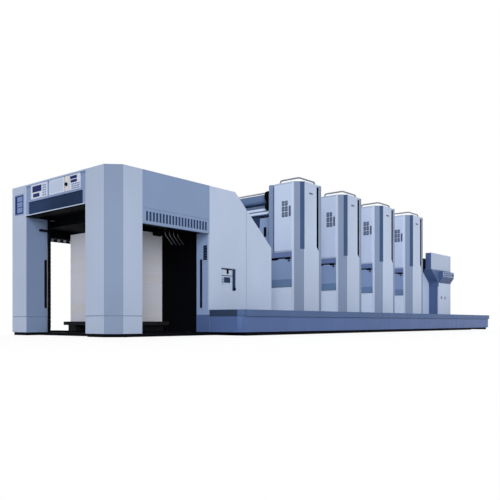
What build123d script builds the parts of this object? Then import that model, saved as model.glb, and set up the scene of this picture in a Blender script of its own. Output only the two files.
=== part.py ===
"""Four-unit sheet-fed offset printing press: delivery, incline, printing units, feeder and walkways.

Millimetres. +X runs from the delivery to the feeder, +Y from the operator side to the drive side
and +Z up. The origin lies on the floor in the middle of the press.
"""
import os

from build123d import *

# Overall layout, from the delivery front to the end of the walkways
press_width = 2110.0
walkway_width = 520.0
pillar_length = 395.0
bay_length = 1031.0
cover_flat_length = 467.0
cover_slope_length = 736.0
first_gap = 667.0
unit_count = 4
unit_pitch = 1200.0
unit_length = 549.0
feeder_gap = 399.0
feeder_overhang = 368.0
feeder_length = 630.0
walkway_run_out = 873.0

# Heights above the floor
deck_height = 305.0
delivery_top = 1790.0
slope_end_height = 1154.0
unit_top = 2198.0

# Shared thicknesses and clearances
cover_thickness = 30.0
roof_thickness = 40.0
groove_width = 5.0
groove_depth = 4.0
cut_overrun = 20.0
running_clearance = 0.05
moving_clearance = 6.0

# Base, plinth and walkways
plinth_height = 40.0
plinth_inset = 18.0
plinth_shortfall = 127.0
tread_thickness = 80.0
tread_overhang = 20.0
walkway_corner_radius = 80.0
walkway_foot_length = 90.0
walkway_foot_width = 420.0
walkway_foot_setback = 60.0
bed_height = 580.0
base_setback = 160.0

# Delivery pillars and floor frame
pillar_width = 460.0
pillar_front_chamfer = 145.0
pillar_back_chamfer = 120.0
pillar_foot_height = 35.0
pillar_foot_inset = 15.0
kick_seam_height = 220.0
floor_bar_height = 50.0
floor_bar_width = 80.0
front_bar_width = 130.0
post_size = 24.0
post_clearance = 12.0

# Control beam, its plates and the pillar display
beam_bottom = 1410.0
beam_depth = 120.0
beam_overhang = 40.0
beam_lip = 20.0
visor_height = 146.0
visor_recess = 30.0
visor_thickness = 18.0
plate_thickness = 12.0
plate_bottom = 1600.0
plate_top = 1765.0
plate_width_shares = ((0.082, 0.252), (0.262, 0.320), (0.335, 0.587), (0.623, 0.910))
display_width = 210.0
display_height = 250.0
display_bottom = 1445.0
display_depth = 8.0

# Delivery head, side fascias and rear pillars
fascia_bottom = 1215.0
fascia_seam_height = 1378.0
louvre_count = 20
louvre_width = 22.0
louvre_bottom = 1250.0
louvre_height = 96.0
louvre_margin = 40.0
head_rail_bottom = 1235.0
head_underside = 1330.0
rear_pillar_width = 220.0
rear_pillar_length = 100.0
grille_count = 6
grille_pitch = 32.0
grille_slot_height = 16.0
grille_slot_width = 66.0
grille_slot_depth = 14.0
grille_bottom = 905.0
grille_margin = 12.0
curtain_width = 30.0
curtain_depth = 8.0
curtain_bottom = 330.0
curtain_top = 915.0
curtain_setback = 123.0
curtain_edge_gap = 5.0

# Side covers of the incline and their operating hatch
cover_seam_setback = 525.0
hatch_left = 215.0
hatch_width = 263.0
hatch_bottom = 546.0
hatch_height = 276.0
hatch_recess = 18.0
hatch_screen_left = 60.0
hatch_screen_width = 110.0
hatch_screen_bottom = 98.0
hatch_screen_height = 70.0
hatch_screen_depth = 6.0
hatch_lever_width = 42.0
hatch_lever_depth = 12.0
hatch_margin = 5.0

# Paper pile and its pallet
sheet_length = 653.0
sheet_width = 965.0
pile_front = 532.0
pile_top = 1240.0
pallet_board_thickness = 43.0
pallet_runner_height = 72.0
pallet_runner_width = 146.0
pallet_runner_inset = 104.0
pallet_overhang = 60.0
jogger_length = 100.0
jogger_thickness = 50.0
jogger_height = 130.0
jogger_gap = 14.0
jogger_setback = 60.0

# Printing unit housings
housing_width = 500.0
frame_thickness = 70.0
frame_drop = 2.0
unit_chamfer = 116.0
edge_strip_width = 33.0
panel_width = 311.0
panel_thickness = 10.0
panel_top_margin = 30.0
panel_bottom = 1200.0
panel_gap_depth = 40.0
slot_left = 427.0
slot_width = 54.0
slot_depth = 60.0
slot_bottom = 1212.0
slot_top_margin = 31.0
slot_slant = 60.0
chamfer_strip_share = 0.6
chamfer_strip_depth = 14.0
chamfer_strip_bottom = 1216.0

# Swinging guards, their headers and hinges
pocket_depth = 66.0
pocket_bottom = 664.0
header_bottom = 1107.0
header_height = 75.0
hinge_gap = 38.0
hinge_drop = 19.0
hinge_rod_radius = 8.0
knuckle_radius = 13.0
knuckle_length = 120.0
knuckle_shares = (0.1, 0.5, 0.9)
hinge_block_width = 18.0
hinge_block_length = 30.0
hinge_block_drop = 29.0
guard_thickness = 26.0
guard_bottom = 677.0
guard_bend_height = 781.0
guard_bend_depth = 32.0

# Cylinders, ink rollers and inker inside a unit
cylinder_radius = 120.0
cylinder_end_gap = 15.0
journal_radius = 45.0
journal_sides = 16
plate_cylinder_x = 205.0
plate_cylinder_z = 985.0
blanket_cylinder_x = 290.0
blanket_cylinder_z = 760.0
clamp_slot_width = 36.0
clamp_slot_depth = 30.0
inker_setback = 90.0
inker_end_margin = 40.0
inker_bottom = 1120.0
inker_top = 1740.0
inker_wall = 60.0
inker_back_top = 2078.0
inker_slot_width = 40.0
inker_slot_bottom = 1330.0
inker_slot_height = 170.0
inker_slot_depth = 30.0
inker_slot_margin = 36.0
fountain_length = 140.0
fountain_height = 142.0
fountain_bottom = 1956.0
fountain_setback = 60.0
fountain_rounding = 50.0
tie_bar_length = 70.0
tie_bar_height = 110.0
tie_bar_bottom = 1780.0
roller_radius = 45.0
roller_sides = 24
roller_journal_radius = 16.0
roller_setback = 275.0
roller_spacing = 96.0
roller_count = 2
roller_height = 1880.0

# Handrails on the unit tops
rail_radius = 11.0
rail_sides = 6
rail_height = 52.0
rail_inset = 70.0
rail_front_end = 405.0
rail_side_end = 472.0
rail_bend = 30.0

# Feeder
feeder_side_width = 208.0
feeder_panel_thickness = 24.0
feeder_panel_top = 965.0
feeder_column_top = 1225.0
feeder_flare_radius = 150.0
feeder_head_width = 122.0
feeder_head_top = 1554.0
console_bottom = 965.0
console_top = 1200.0
console_depth = 80.0
console_face_height = 120.0
console_margin = 20.0
switch_box_reach = 70.0
switch_box_lap = 80.0
switch_box_width = 78.0
switch_box_height = 215.0
traverse_length = 160.0
traverse_bottom = 1300.0
traverse_height = 150.0
traverse_setback = 420.0
feed_board_thickness = 40.0
feed_board_low = 930.0
feed_board_high = 1060.0
feed_board_bar_length = 80.0
feed_panel_thickness = 24.0
feed_panel_top = 1190.0
feed_panel_lap = 60.0

# Stations along X, from the sizes above
rear_x_from_front = pillar_length + bay_length
unit_run = (unit_count - 1) * unit_pitch + unit_length
press_length = (rear_x_from_front + cover_flat_length + cover_slope_length + first_gap + unit_run
                + feeder_gap + feeder_overhang + feeder_length + walkway_run_out)
front_x = -press_length / 2
pillar_x = front_x + pillar_length
rear_x = front_x + rear_x_from_front
head_end_x = rear_x + rear_pillar_length
base_x = rear_x + base_setback
slope_x = rear_x + cover_flat_length
cover_end_x = slope_x + cover_slope_length
unit_xs = [cover_end_x + first_gap + index * unit_pitch for index in range(unit_count)]
units_end_x = unit_xs[-1] + unit_length
feeder_head_x = units_end_x + feeder_gap
feeder_x = feeder_head_x + feeder_overhang
feeder_end_x = feeder_x + feeder_length
walkway_end_x = feeder_end_x + walkway_run_out
plinth_end_x = feeder_end_x - plinth_shortfall

# Levels and depths from the operator side that several pieces share
roof_underside = delivery_top - roof_thickness
visor_bottom = beam_bottom + beam_lip
visor_top = visor_bottom + visor_height
beam_back = front_x + beam_depth
post_x = pillar_x - pillar_back_chamfer + post_clearance
head_front_bottom = beam_bottom + beam_overhang
pallet_base = floor_bar_height
pallet_top = pallet_base + pallet_runner_height + pallet_board_thickness
header_top = header_bottom + header_height
guard_top = header_bottom - hinge_gap
hinge_z = header_bottom - hinge_drop
inner_depth = housing_width + frame_thickness
panel_depth = unit_chamfer + edge_strip_width
pocket_inset = panel_depth - moving_clearance
tread_bottom = deck_height - tread_thickness


def side_y(depth):
    """Y of a plane that lies a depth inwards from the operator-side covers."""
    return depth - press_width / 2


def block(x0, x1, y0, y1, z0, z1):
    """Box between two corners."""
    centre = Pos((x0 + x1) / 2, (y0 + y1) / 2, (z0 + z1) / 2)
    return centre * Box(x1 - x0, y1 - y0, z1 - z0)


def upright(points, z0, z1):
    """Prism that stands on a plan outline of (x, y) points."""
    face = make_face(Polyline(*[(x, y, z0) for x, y in points], close=True))
    return extrude(face, amount=z1 - z0, dir=(0, 0, 1))


def crosswise(points, y0, y1):
    """Prism that runs along Y with a side outline of (x, z) points."""
    face = make_face(Polyline(*[(x, y0, z) for x, z in points], close=True))
    return extrude(face, amount=y1 - y0, dir=(0, 1, 0))


def lengthwise(points, x0, x1):
    """Prism that runs along X with a front outline of (y, z) points."""
    face = make_face(Polyline(*[(x0, y, z) for y, z in points], close=True))
    return extrude(face, amount=x1 - x0, dir=(1, 0, 0))


def round_bar(x, z, y0, y1, radius):
    """Round bar along Y."""
    return Pos(x, (y0 + y1) / 2, z) * Rot(X=90) * Cylinder(radius, y1 - y0)


def faceted_bar(x, z, y0, y1, radius, sides):
    """Bar along Y with flat sides."""
    return Pos(x, y0, z) * Rot(X=-90) * extrude(RegularPolygon(radius, sides), amount=y1 - y0)


def drive_side(shape):
    """Mirror image of an operator-side piece."""
    return mirror(shape, about=Plane.XZ)


def both_sides(shape):
    """An operator-side piece and its drive-side twin."""
    return [shape, drive_side(shape)]


def save(name, *solids):
    """Write one node, of one solid or of several that stand apart."""
    shape = solids[0] if len(solids) == 1 else Compound([piece.solid() for piece in solids])
    export_step(shape, f"parts/{name}.step")


def pillar_plan(inset, back):
    """Plan of the operator-side front pillar, drawn in by an inset, chamfered at its inner back edge."""
    x0 = front_x + inset
    x1 = pillar_x - inset
    y0 = side_y(inset)
    y1 = side_y(pillar_width - inset)
    front = pillar_front_chamfer
    outer = [(x0, y1), (x0, y0 + front), (x0 + front, y0), (x1, y0)]
    inner = [(x1, y1 - back), (x1 - back, y1)] if back else [(x1, y1)]
    return outer + inner


def front_pillar():
    """Operator-side front pillar with a seam above its kick plate, square beside the control beam."""
    seam_top = kick_seam_height + groove_width
    back = pillar_back_chamfer
    kick = upright(pillar_plan(0, back), pillar_foot_height, kick_seam_height)
    seam = upright(pillar_plan(groove_depth, back), kick_seam_height, seam_top)
    shaft = upright(pillar_plan(0, back), seam_top, beam_bottom)
    shoulder = upright(pillar_plan(0, 0), beam_bottom, delivery_top)
    return kick + seam + shaft + shoulder


def pillar_display():
    """Flush display in the front of the drive-side pillar."""
    middle = (pillar_front_chamfer + pillar_width) / 2
    y0 = -side_y(middle + display_width / 2)
    y1 = -side_y(middle - display_width / 2)
    display_top = display_bottom + display_height
    return block(front_x, front_x + display_depth, y0, y1, display_bottom, display_top)


def control_beam():
    """Beam between the front pillars, stepped back for the plates and the visor."""
    outline = [
        (front_x, beam_bottom),
        (front_x, visor_bottom),
        (front_x + visor_recess, visor_bottom),
        (front_x + visor_recess, visor_top),
        (front_x, visor_top),
        (front_x, plate_bottom),
        (front_x + plate_thickness, plate_bottom),
        (front_x + plate_thickness, plate_top),
        (front_x, plate_top),
        (front_x, delivery_top),
        (beam_back, delivery_top),
        (beam_back, beam_bottom),
    ]
    return crosswise(outline, side_y(pillar_width), -side_y(pillar_width))


def control_plates():
    """Control plates side by side in the upper recess of the beam."""
    span = press_width - 2 * pillar_width
    start = side_y(pillar_width)
    front = front_x
    back = front_x + plate_thickness
    return [
        block(front, back, start + low * span, start + high * span, plate_bottom, plate_top)
        for low, high in plate_width_shares
    ]


def beam_visor():
    """Dark visor in the lower recess of the beam."""
    back = front_x + visor_recess
    y0 = side_y(pillar_width)
    return block(back - visor_thickness, back, y0, -y0, visor_bottom, visor_top)


def side_fascia():
    """Operator-side fascia over the bay, with a seam and a row of louvre slots."""
    y0 = side_y(0)
    y1 = side_y(cover_thickness)
    panel = block(pillar_x, rear_x, y0, y1, fascia_bottom, delivery_top)
    seam_top = fascia_seam_height + groove_width
    panel -= block(pillar_x, rear_x, y0, y0 + groove_depth, fascia_seam_height, seam_top)
    pitch = (bay_length - 2 * louvre_margin) / louvre_count
    louvre_top = louvre_bottom + louvre_height
    slot = block(0, louvre_width, y0 - cut_overrun, y1 + cut_overrun, louvre_bottom, louvre_top)
    start = pillar_x + louvre_margin + (pitch - louvre_width) / 2
    slots = [Pos(start + index * pitch, 0, 0) * slot for index in range(louvre_count)]
    return panel - slots


def delivery_head():
    """Closed delivery head: chain rails with a channel between them, and a front end behind the beam."""
    outer = side_y(cover_thickness)
    inner = side_y(rear_pillar_width)
    outline = [
        (outer, head_rail_bottom),
        (outer, roof_underside),
        (-outer, roof_underside),
        (-outer, head_rail_bottom),
        (-inner, head_rail_bottom),
        (-inner, head_underside),
        (inner, head_underside),
        (inner, head_rail_bottom),
    ]
    front_y = side_y(pillar_width)
    front_end = block(beam_back, pillar_x, front_y, -front_y, head_front_bottom, roof_underside)
    return lengthwise(outline, pillar_x, head_end_x) + front_end


def delivery_roof():
    """Bent roof: flat from the beam over the delivery head, then sloping down over the chain incline."""
    outline = [
        (pillar_x, roof_underside),
        (pillar_x, delivery_top),
        (slope_x, delivery_top),
        (cover_end_x, slope_end_height),
        (cover_end_x, slope_end_height - roof_thickness),
        (slope_x, roof_underside),
    ]
    front_y = side_y(pillar_width)
    front_end = block(beam_back, pillar_x, front_y, -front_y, roof_underside, delivery_top)
    return crosswise(outline, side_y(cover_thickness), -side_y(cover_thickness)) + front_end


def incline_housing():
    """Closed housing of the chain incline, under its covers, with a foot in front of the base."""
    outline = [
        (head_end_x, plinth_height),
        (head_end_x, roof_underside),
        (slope_x, roof_underside),
        (cover_end_x, slope_end_height - roof_thickness),
        (cover_end_x, deck_height),
        (base_x, deck_height),
        (base_x, plinth_height),
    ]
    return crosswise(outline, side_y(cover_thickness), -side_y(cover_thickness))


def side_cover():
    """Operator-side cover of the incline with its sloping end and one upright seam."""
    outline = [
        (rear_x, deck_height),
        (rear_x, delivery_top),
        (slope_x, delivery_top),
        (cover_end_x, slope_end_height),
        (cover_end_x, deck_height),
    ]
    y0 = side_y(0)
    cover = crosswise(outline, y0, side_y(cover_thickness))
    seam_x = cover_end_x - cover_seam_setback
    return cover - block(seam_x, seam_x + groove_width, y0, y0 + groove_depth, deck_height, delivery_top)


def hatch_pocket():
    """Space of the operating hatch in the operator-side cover."""
    x0 = rear_x + hatch_left
    y0 = side_y(0)
    hatch_top = hatch_bottom + hatch_height
    return block(x0, x0 + hatch_width, y0, y0 + hatch_recess, hatch_bottom, hatch_top)


def hatch_controls():
    """Screen and upright lever at the back of the operating hatch."""
    back = side_y(hatch_recess)
    left = rear_x + hatch_left + hatch_screen_left
    right = rear_x + hatch_left + hatch_width - hatch_margin
    low = hatch_bottom + hatch_margin
    high = hatch_bottom + hatch_height - hatch_margin
    sill = hatch_bottom + hatch_screen_bottom
    screen = block(left, left + hatch_screen_width, back - hatch_screen_depth, back,
                   sill, sill + hatch_screen_height)
    lever = block(right - hatch_lever_width, right, back - hatch_lever_depth, back, low, high)
    return [screen, lever]


def rear_pillar():
    """Operator-side rear pillar on the floor, with a grille of level slots in its front."""
    y0 = side_y(cover_thickness)
    y1 = side_y(rear_pillar_width)
    pillar = block(rear_x, head_end_x, y0, y1, deck_height, head_rail_bottom)
    pillar += block(rear_x, head_end_x, side_y(0), y1, 0, deck_height)
    slot_y = y0 + grille_margin
    slot_end_y = slot_y + grille_slot_width
    slot = block(rear_x, rear_x + grille_slot_depth, slot_y, slot_end_y, 0, grille_slot_height)
    slots = [Pos(0, 0, grille_bottom + index * grille_pitch) * slot for index in range(grille_count)]
    return pillar - slots


def light_curtains():
    """Operator-side light-curtain strips that watch the front and the side of the bay."""
    rear_y = side_y(curtain_setback)
    inner_y = side_y(pillar_width)
    front_edge = pillar_x - pillar_back_chamfer - curtain_edge_gap
    levels = (curtain_bottom, curtain_top)
    return [
        block(rear_x - curtain_depth, rear_x, rear_y, rear_y + curtain_width, *levels),
        block(pillar_x, pillar_x + curtain_depth, rear_y, rear_y + curtain_width, *levels),
        block(front_edge - curtain_width, front_edge, inner_y, inner_y + curtain_depth, *levels),
    ]


def floor_frame():
    """Floor bars between the pillar feet: one across under the hoist posts and two under the pallet."""
    outer_y = side_y(pillar_foot_inset)
    foot = upright(pillar_plan(pillar_foot_inset, pillar_back_chamfer), 0, pillar_foot_height)
    side_bar = block(pillar_x - floor_bar_width, rear_x, outer_y, outer_y + floor_bar_width,
                     0, pillar_foot_height)
    frame = foot + drive_side(foot) + side_bar + drive_side(side_bar)
    lift_x = front_x + pile_front + pallet_overhang
    lift_end_x = front_x + pile_front + sheet_length - pallet_overhang
    for bar_x in (lift_x, lift_end_x - floor_bar_width):
        frame += block(bar_x, bar_x + floor_bar_width, outer_y, -outer_y, 0, floor_bar_height)
    front_bar_x = post_x + post_size + post_clearance
    front_bar_y = side_y(pillar_width) - floor_bar_width
    frame += block(front_bar_x - front_bar_width, front_bar_x, front_bar_y, -front_bar_y,
                   0, pillar_foot_height)
    return frame


def hoist_post():
    """Operator-side hoist post, from the front floor bar to the delivery head, beside its pillar."""
    y0 = side_y(pillar_width)
    return block(post_x, post_x + post_size, y0, y0 + post_size, pillar_foot_height, head_front_bottom)


def pallet():
    """Pile board on two runners, lengthwise under the pile."""
    x0 = front_x + pile_front - pallet_overhang
    x1 = front_x + pile_front + sheet_length + pallet_overhang
    y0 = -sheet_width / 2 - pallet_overhang
    runner_top = pallet_base + pallet_runner_height
    shape = block(x0, x1, y0, -y0, runner_top, pallet_top)
    start = y0 + pallet_runner_inset
    runner = block(x0, x1, start, start + pallet_runner_width, pallet_base, runner_top)
    return shape + runner + drive_side(runner)


def paper_pile():
    """Full delivery pile on the pallet."""
    x0 = front_x + pile_front
    return block(x0, x0 + sheet_length, -sheet_width / 2, sheet_width / 2, pallet_top, pile_top)


def sheet_jogger():
    """Operator-side jogger that hangs from the delivery head beside the pile."""
    x1 = front_x + pile_front + sheet_length - jogger_setback
    y1 = -sheet_width / 2 - jogger_gap
    jogger_bottom = head_underside - jogger_height
    return block(x1 - jogger_length, x1, y1 - jogger_thickness, y1, jogger_bottom, head_underside)


def walkway_plan(inset):
    """Plan of the operator-side walkway, drawn in outside and at the far end, round at the near corner."""
    x1 = walkway_end_x - inset
    y0 = side_y(inset - walkway_width)
    y1 = side_y(0)
    radius = walkway_corner_radius - inset
    straight = Polyline((rear_x + radius, y0), (x1, y0), (x1, y1), (rear_x, y1), (rear_x, y0 + radius))
    corner = RadiusArc((rear_x, y0 + radius), (rear_x + radius, y0), radius)
    return make_face(straight + corner)


def walkway_skirt():
    """Operator-side walkway body below its tread."""
    skirt_height = tread_bottom - plinth_height
    return Pos(0, 0, plinth_height) * extrude(walkway_plan(tread_overhang), amount=skirt_height)


def walkway_tread():
    """Operator-side walkway tread."""
    return Pos(0, 0, tread_bottom) * extrude(walkway_plan(0), amount=tread_thickness)


def base_plinth():
    """Plinth under the base and the walkways, open between the feeder sides."""
    y0 = side_y(tread_overhang + plinth_inset - walkway_width)
    main = block(head_end_x, feeder_x, y0, -y0, 0, plinth_height)
    strip = block(feeder_x, plinth_end_x, y0, side_y(feeder_side_width), 0, plinth_height)
    return main + strip + drive_side(strip)


def walkway_foot():
    """Foot under the far end of the operator-side walkway."""
    x1 = walkway_end_x - walkway_foot_setback
    y1 = side_y((walkway_foot_width - walkway_width) / 2)
    return block(x1 - walkway_foot_length, x1, y1 - walkway_foot_width, y1, 0, plinth_height)


def machine_base():
    """Base under the incline and the units, with the raised bed that joins the units."""
    y0 = side_y(0)
    bed_y = side_y(inner_depth)
    base = block(base_x, feeder_x, y0, -y0, plinth_height, deck_height)
    return base + block(cover_end_x, units_end_x, bed_y, -bed_y, deck_height, bed_height)


def guard_pocket(x):
    """Space across a unit for its header and its swinging guard."""
    y0 = side_y(pocket_inset)
    return block(x, x + pocket_depth, y0, -y0, pocket_bottom, header_top)


def operator_housing(x):
    """Operator-side housing of a unit: chamfered front edge, side slot, chamfer strip and guard pocket."""
    y0 = side_y(0)
    y1 = side_y(housing_width)
    x1 = x + unit_length
    plan = [(x, y1), (x, y0 + unit_chamfer), (x + unit_chamfer, y0), (x1, y0), (x1, y1)]
    housing = upright(plan, deck_height, unit_top)
    slot_x = x + slot_left
    slot = crosswise(
        [
            (slot_x, unit_top - slot_top_margin),
            (slot_x + slot_width, unit_top - slot_top_margin),
            (slot_x + slot_width, slot_bottom),
            (slot_x, slot_bottom + slot_slant),
        ],
        y0, y0 + slot_depth,
    )
    along = chamfer_strip_share * unit_chamfer
    strip = upright(
        [
            (x + along, y0 + unit_chamfer - along),
            (x + unit_chamfer, y0),
            (x + unit_chamfer, y0 + chamfer_strip_depth),
            (x + along + chamfer_strip_depth, y0 + unit_chamfer - along),
        ],
        chamfer_strip_bottom, unit_top,
    )
    panel_end = side_y(panel_depth + panel_width)
    gap = block(x, x + panel_gap_depth, panel_end, y1, header_top, unit_top)
    return housing - slot - strip - gap - guard_pocket(x)


def side_frame(x):
    """Operator-side frame of a unit, which carries its cylinders, rollers and bars."""
    frame = block(x, x + unit_length, side_y(housing_width), side_y(inner_depth),
                  deck_height, unit_top - frame_drop)
    return frame - guard_pocket(x)


def front_panel(x):
    """Raised panel on the front of the operator-side housing."""
    y0 = side_y(panel_depth)
    return block(x - panel_thickness, x, y0, y0 + panel_width, panel_bottom, unit_top - panel_top_margin)


def hinge_x(x):
    """X of a guard's hinge axis."""
    return x + guard_thickness / 2


def guard_header(x):
    """Header across a unit above its guard, with a block at each end for the hinge rod."""
    y0 = side_y(pocket_inset)
    beam = block(x, x + pocket_depth, y0, -y0, header_bottom, header_top)
    block_x = hinge_x(x) - hinge_block_width / 2
    end_block = block(block_x, block_x + hinge_block_width, y0, y0 + hinge_block_length,
                      header_bottom - hinge_block_drop, header_bottom)
    return beam + end_block + drive_side(end_block)


def hinge_rod(x):
    """Hinge rod between the end blocks of a header."""
    y0 = side_y(pocket_inset + hinge_block_length)
    return round_bar(hinge_x(x), hinge_z, y0, -y0, hinge_rod_radius)


def guard(x):
    """Swinging guard: a plate folded inwards below and hung from the rod by its knuckles."""
    fold = guard_bend_depth
    outline = [
        (x, guard_top),
        (x, guard_bend_height),
        (x + fold, guard_bottom),
        (x + fold + guard_thickness, guard_bottom),
        (x + guard_thickness, guard_bend_height),
        (x + guard_thickness, guard_top),
    ]
    y0 = side_y(panel_depth)
    shape = crosswise(outline, y0, -y0)
    axis_x = hinge_x(x)
    for share in knuckle_shares:
        middle = y0 - 2 * share * y0
        low = middle - knuckle_length / 2
        high = middle + knuckle_length / 2
        shape += round_bar(axis_x, hinge_z, low, high, knuckle_radius)
        shape += block(axis_x - knuckle_radius, axis_x + knuckle_radius, low, high, guard_top, hinge_z)
    return shape - round_bar(axis_x, hinge_z, y0, -y0, hinge_rod_radius + running_clearance)


def cylinder(x, z):
    """Cylinder with its journals between the side frames and a clamp slot along its top."""
    seat = side_y(inner_depth)
    end = seat + cylinder_end_gap
    body = round_bar(x, z, end, -end, cylinder_radius)
    top = z + cylinder_radius
    body -= block(x - clamp_slot_width / 2, x + clamp_slot_width / 2, end - cut_overrun, cut_overrun - end,
                  top - clamp_slot_depth, top + cut_overrun)
    return body + faceted_bar(x, z, seat, -seat, journal_radius, journal_sides)


def ink_rollers(x):
    """Row of ink rollers between the side frames."""
    seat = side_y(inner_depth)
    end = seat + cylinder_end_gap
    rollers = []
    for index in range(roller_count):
        roller_x = x + roller_setback + index * roller_spacing
        drum = faceted_bar(roller_x, roller_height, end, -end, roller_radius, roller_sides)
        journals = faceted_bar(roller_x, roller_height, seat, -seat, roller_journal_radius, journal_sides)
        rollers.append(drum + journals)
    return rollers


def inker(x):
    """Inker body between the side frames, with a back wall from the bed up behind the rollers."""
    x0 = x + inker_setback
    x1 = x + unit_length - inker_end_margin
    wall_x = x1 - inker_wall
    outline = [
        (x0, inker_bottom),
        (x0, inker_top),
        (wall_x, inker_top),
        (wall_x, inker_back_top),
        (x1, inker_back_top),
        (x1, bed_height),
        (wall_x, bed_height),
        (wall_x, inker_bottom),
    ]
    seat = side_y(inner_depth)
    slot_y = seat + inker_slot_margin
    slot = block(x0, x0 + inker_slot_depth, slot_y, slot_y + inker_slot_width,
                 inker_slot_bottom, inker_slot_bottom + inker_slot_height)
    return crosswise(outline, seat, -seat) - slot


def ink_bars(x):
    """Ink fountain bar with a rounded front and the tie bar below it."""
    seat = side_y(inner_depth)
    x0 = x + fountain_setback
    fountain_top = fountain_bottom + fountain_height
    fountain = block(x0, x0 + fountain_length, seat, -seat, fountain_bottom, fountain_top)
    front = fountain.faces().sort_by(Axis.X)[0]
    fountain = fillet(front.edges().filter_by(Axis.Y), radius=fountain_rounding)
    tie = block(x0, x0 + tie_bar_length, seat, -seat, tie_bar_bottom, tie_bar_bottom + tie_bar_height)
    return [fountain, tie]


def handrail(x):
    """Low handrail round the front and side edges of the operator-side housing top, with mitred bends."""
    x0 = x + rail_inset
    x1 = x + rail_side_end
    y0 = side_y(rail_inset)
    y1 = side_y(rail_front_end)
    top = unit_top + rail_height
    shoulder = top - rail_bend
    points = [
        (x0, y1, unit_top),
        (x0, y1, shoulder),
        (x0, y1 - rail_bend, top),
        (x0, y0 + rail_bend, top),
        (x0 + rail_bend, y0, top),
        (x1 - rail_bend, y0, top),
        (x1, y0, shoulder),
        (x1, y0, unit_top),
    ]
    section = Plane(origin=points[0], z_dir=(0, 0, 1)) * RegularPolygon(rail_radius, rail_sides)
    return sweep(section, path=Polyline(*points), transition=Transition.RIGHT)


def feeder_panel():
    """Light panel let into the outside of the operator-side feeder frame."""
    y1 = side_y(feeder_panel_thickness)
    return block(feeder_x, feeder_end_x, side_y(0), y1, deck_height, feeder_panel_top)


def feed_panel():
    """Operator-side panel beside the feed board, from the last unit to the inside of the feeder frame."""
    y0 = side_y(feeder_side_width)
    return block(units_end_x, feeder_x + feed_panel_lap, y0, y0 + feed_panel_thickness,
                 deck_height, feed_panel_top)


def feeder_side():
    """Operator-side feeder frame: a column on the plinth that flares forward under its head cover."""
    outline = [
        (feeder_x, plinth_height),
        (feeder_x, feeder_panel_top),
        (feeder_head_x, feeder_column_top),
        (feeder_end_x, feeder_column_top),
        (feeder_end_x, plinth_height),
    ]
    frame = crosswise(outline, side_y(0), side_y(feeder_side_width))
    bend = frame.edges().filter_by(Axis.Y).sort_by_distance((feeder_x, side_y(0), feeder_panel_top))[0]
    return fillet(bend, radius=feeder_flare_radius) - feeder_panel()


def feeder_head_cover():
    """Operator-side cover of the feeder head."""
    y1 = side_y(feeder_head_width)
    return block(feeder_head_x, feeder_end_x, side_y(0), y1, feeder_column_top, feeder_head_top)


def feeder_console():
    """Operating console on the feeder side, with a face that slopes back below."""
    y0 = side_y(0)
    outline = [
        (y0, console_bottom),
        (y0 - console_depth, console_top - console_face_height),
        (y0 - console_depth, console_top),
        (y0, console_top),
    ]
    return lengthwise(outline, feeder_x + console_margin, feeder_end_x - console_margin)


def switch_box():
    """Switch box on the feeder frame, against the inside of the operator-side head cover."""
    y0 = side_y(feeder_head_width)
    switch_box_top = feeder_column_top + switch_box_height
    return block(feeder_head_x - switch_box_reach, feeder_head_x + switch_box_lap,
                 y0, y0 + switch_box_width, feeder_column_top, switch_box_top)


def feeder_traverse():
    """Beam between the head covers that carries the suction head."""
    x0 = feeder_head_x + traverse_setback
    y0 = side_y(feeder_head_width)
    return block(x0, x0 + traverse_length, y0, -y0, traverse_bottom, traverse_bottom + traverse_height)


def feed_board():
    """Sloping feed board from the feeder frames down to the last unit."""
    x1 = feeder_x + feed_board_bar_length
    outline = [
        (units_end_x, feed_board_low),
        (feeder_x, feed_board_high),
        (x1, feed_board_high),
        (x1, feed_board_high - feed_board_thickness),
        (feeder_x, feed_board_high - feed_board_thickness),
        (units_end_x, feed_board_low - feed_board_thickness),
    ]
    y0 = side_y(feeder_side_width + feed_panel_thickness)
    return crosswise(outline, y0, -y0)


os.makedirs("parts", exist_ok=True)

display = pillar_display()
save("front_pillar_operator_side", front_pillar())
save("front_pillar_drive_side", drive_side(front_pillar()) - display)
save("pillar_display", display)
save("control_beam", control_beam())
save("control_plates", *control_plates())
save("beam_visor", beam_visor())
save("side_fascia_operator_side", side_fascia())
save("side_fascia_drive_side", drive_side(side_fascia()))
save("delivery_head", delivery_head())
save("delivery_roof", delivery_roof())
save("incline_housing", incline_housing())
save("side_cover_operator_side", side_cover() - hatch_pocket())
save("side_cover_drive_side", drive_side(side_cover()))
save("hatch_controls", *hatch_controls())
save("rear_pillars", *both_sides(rear_pillar()))
save("light_curtains", *[strip for piece in light_curtains() for strip in both_sides(piece)])
save("floor_frame", floor_frame())
save("hoist_posts", *both_sides(hoist_post()))
save("pallet", pallet())
save("paper_pile", paper_pile())
save("sheet_joggers", *both_sides(sheet_jogger()))
save("machine_base", machine_base())
save("base_plinth", base_plinth(), *both_sides(walkway_foot()))
save("walkway_skirts", *both_sides(walkway_skirt()))
save("walkway_treads", *both_sides(walkway_tread()))

for number, unit_x in enumerate(unit_xs, start=1):
    save(f"unit_{number}_operator_housing", operator_housing(unit_x))
    save(f"unit_{number}_drive_housing", drive_side(operator_housing(unit_x)))
    save(f"unit_{number}_inker", inker(unit_x))
    save(f"unit_{number}_guard", guard(unit_x))

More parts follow.
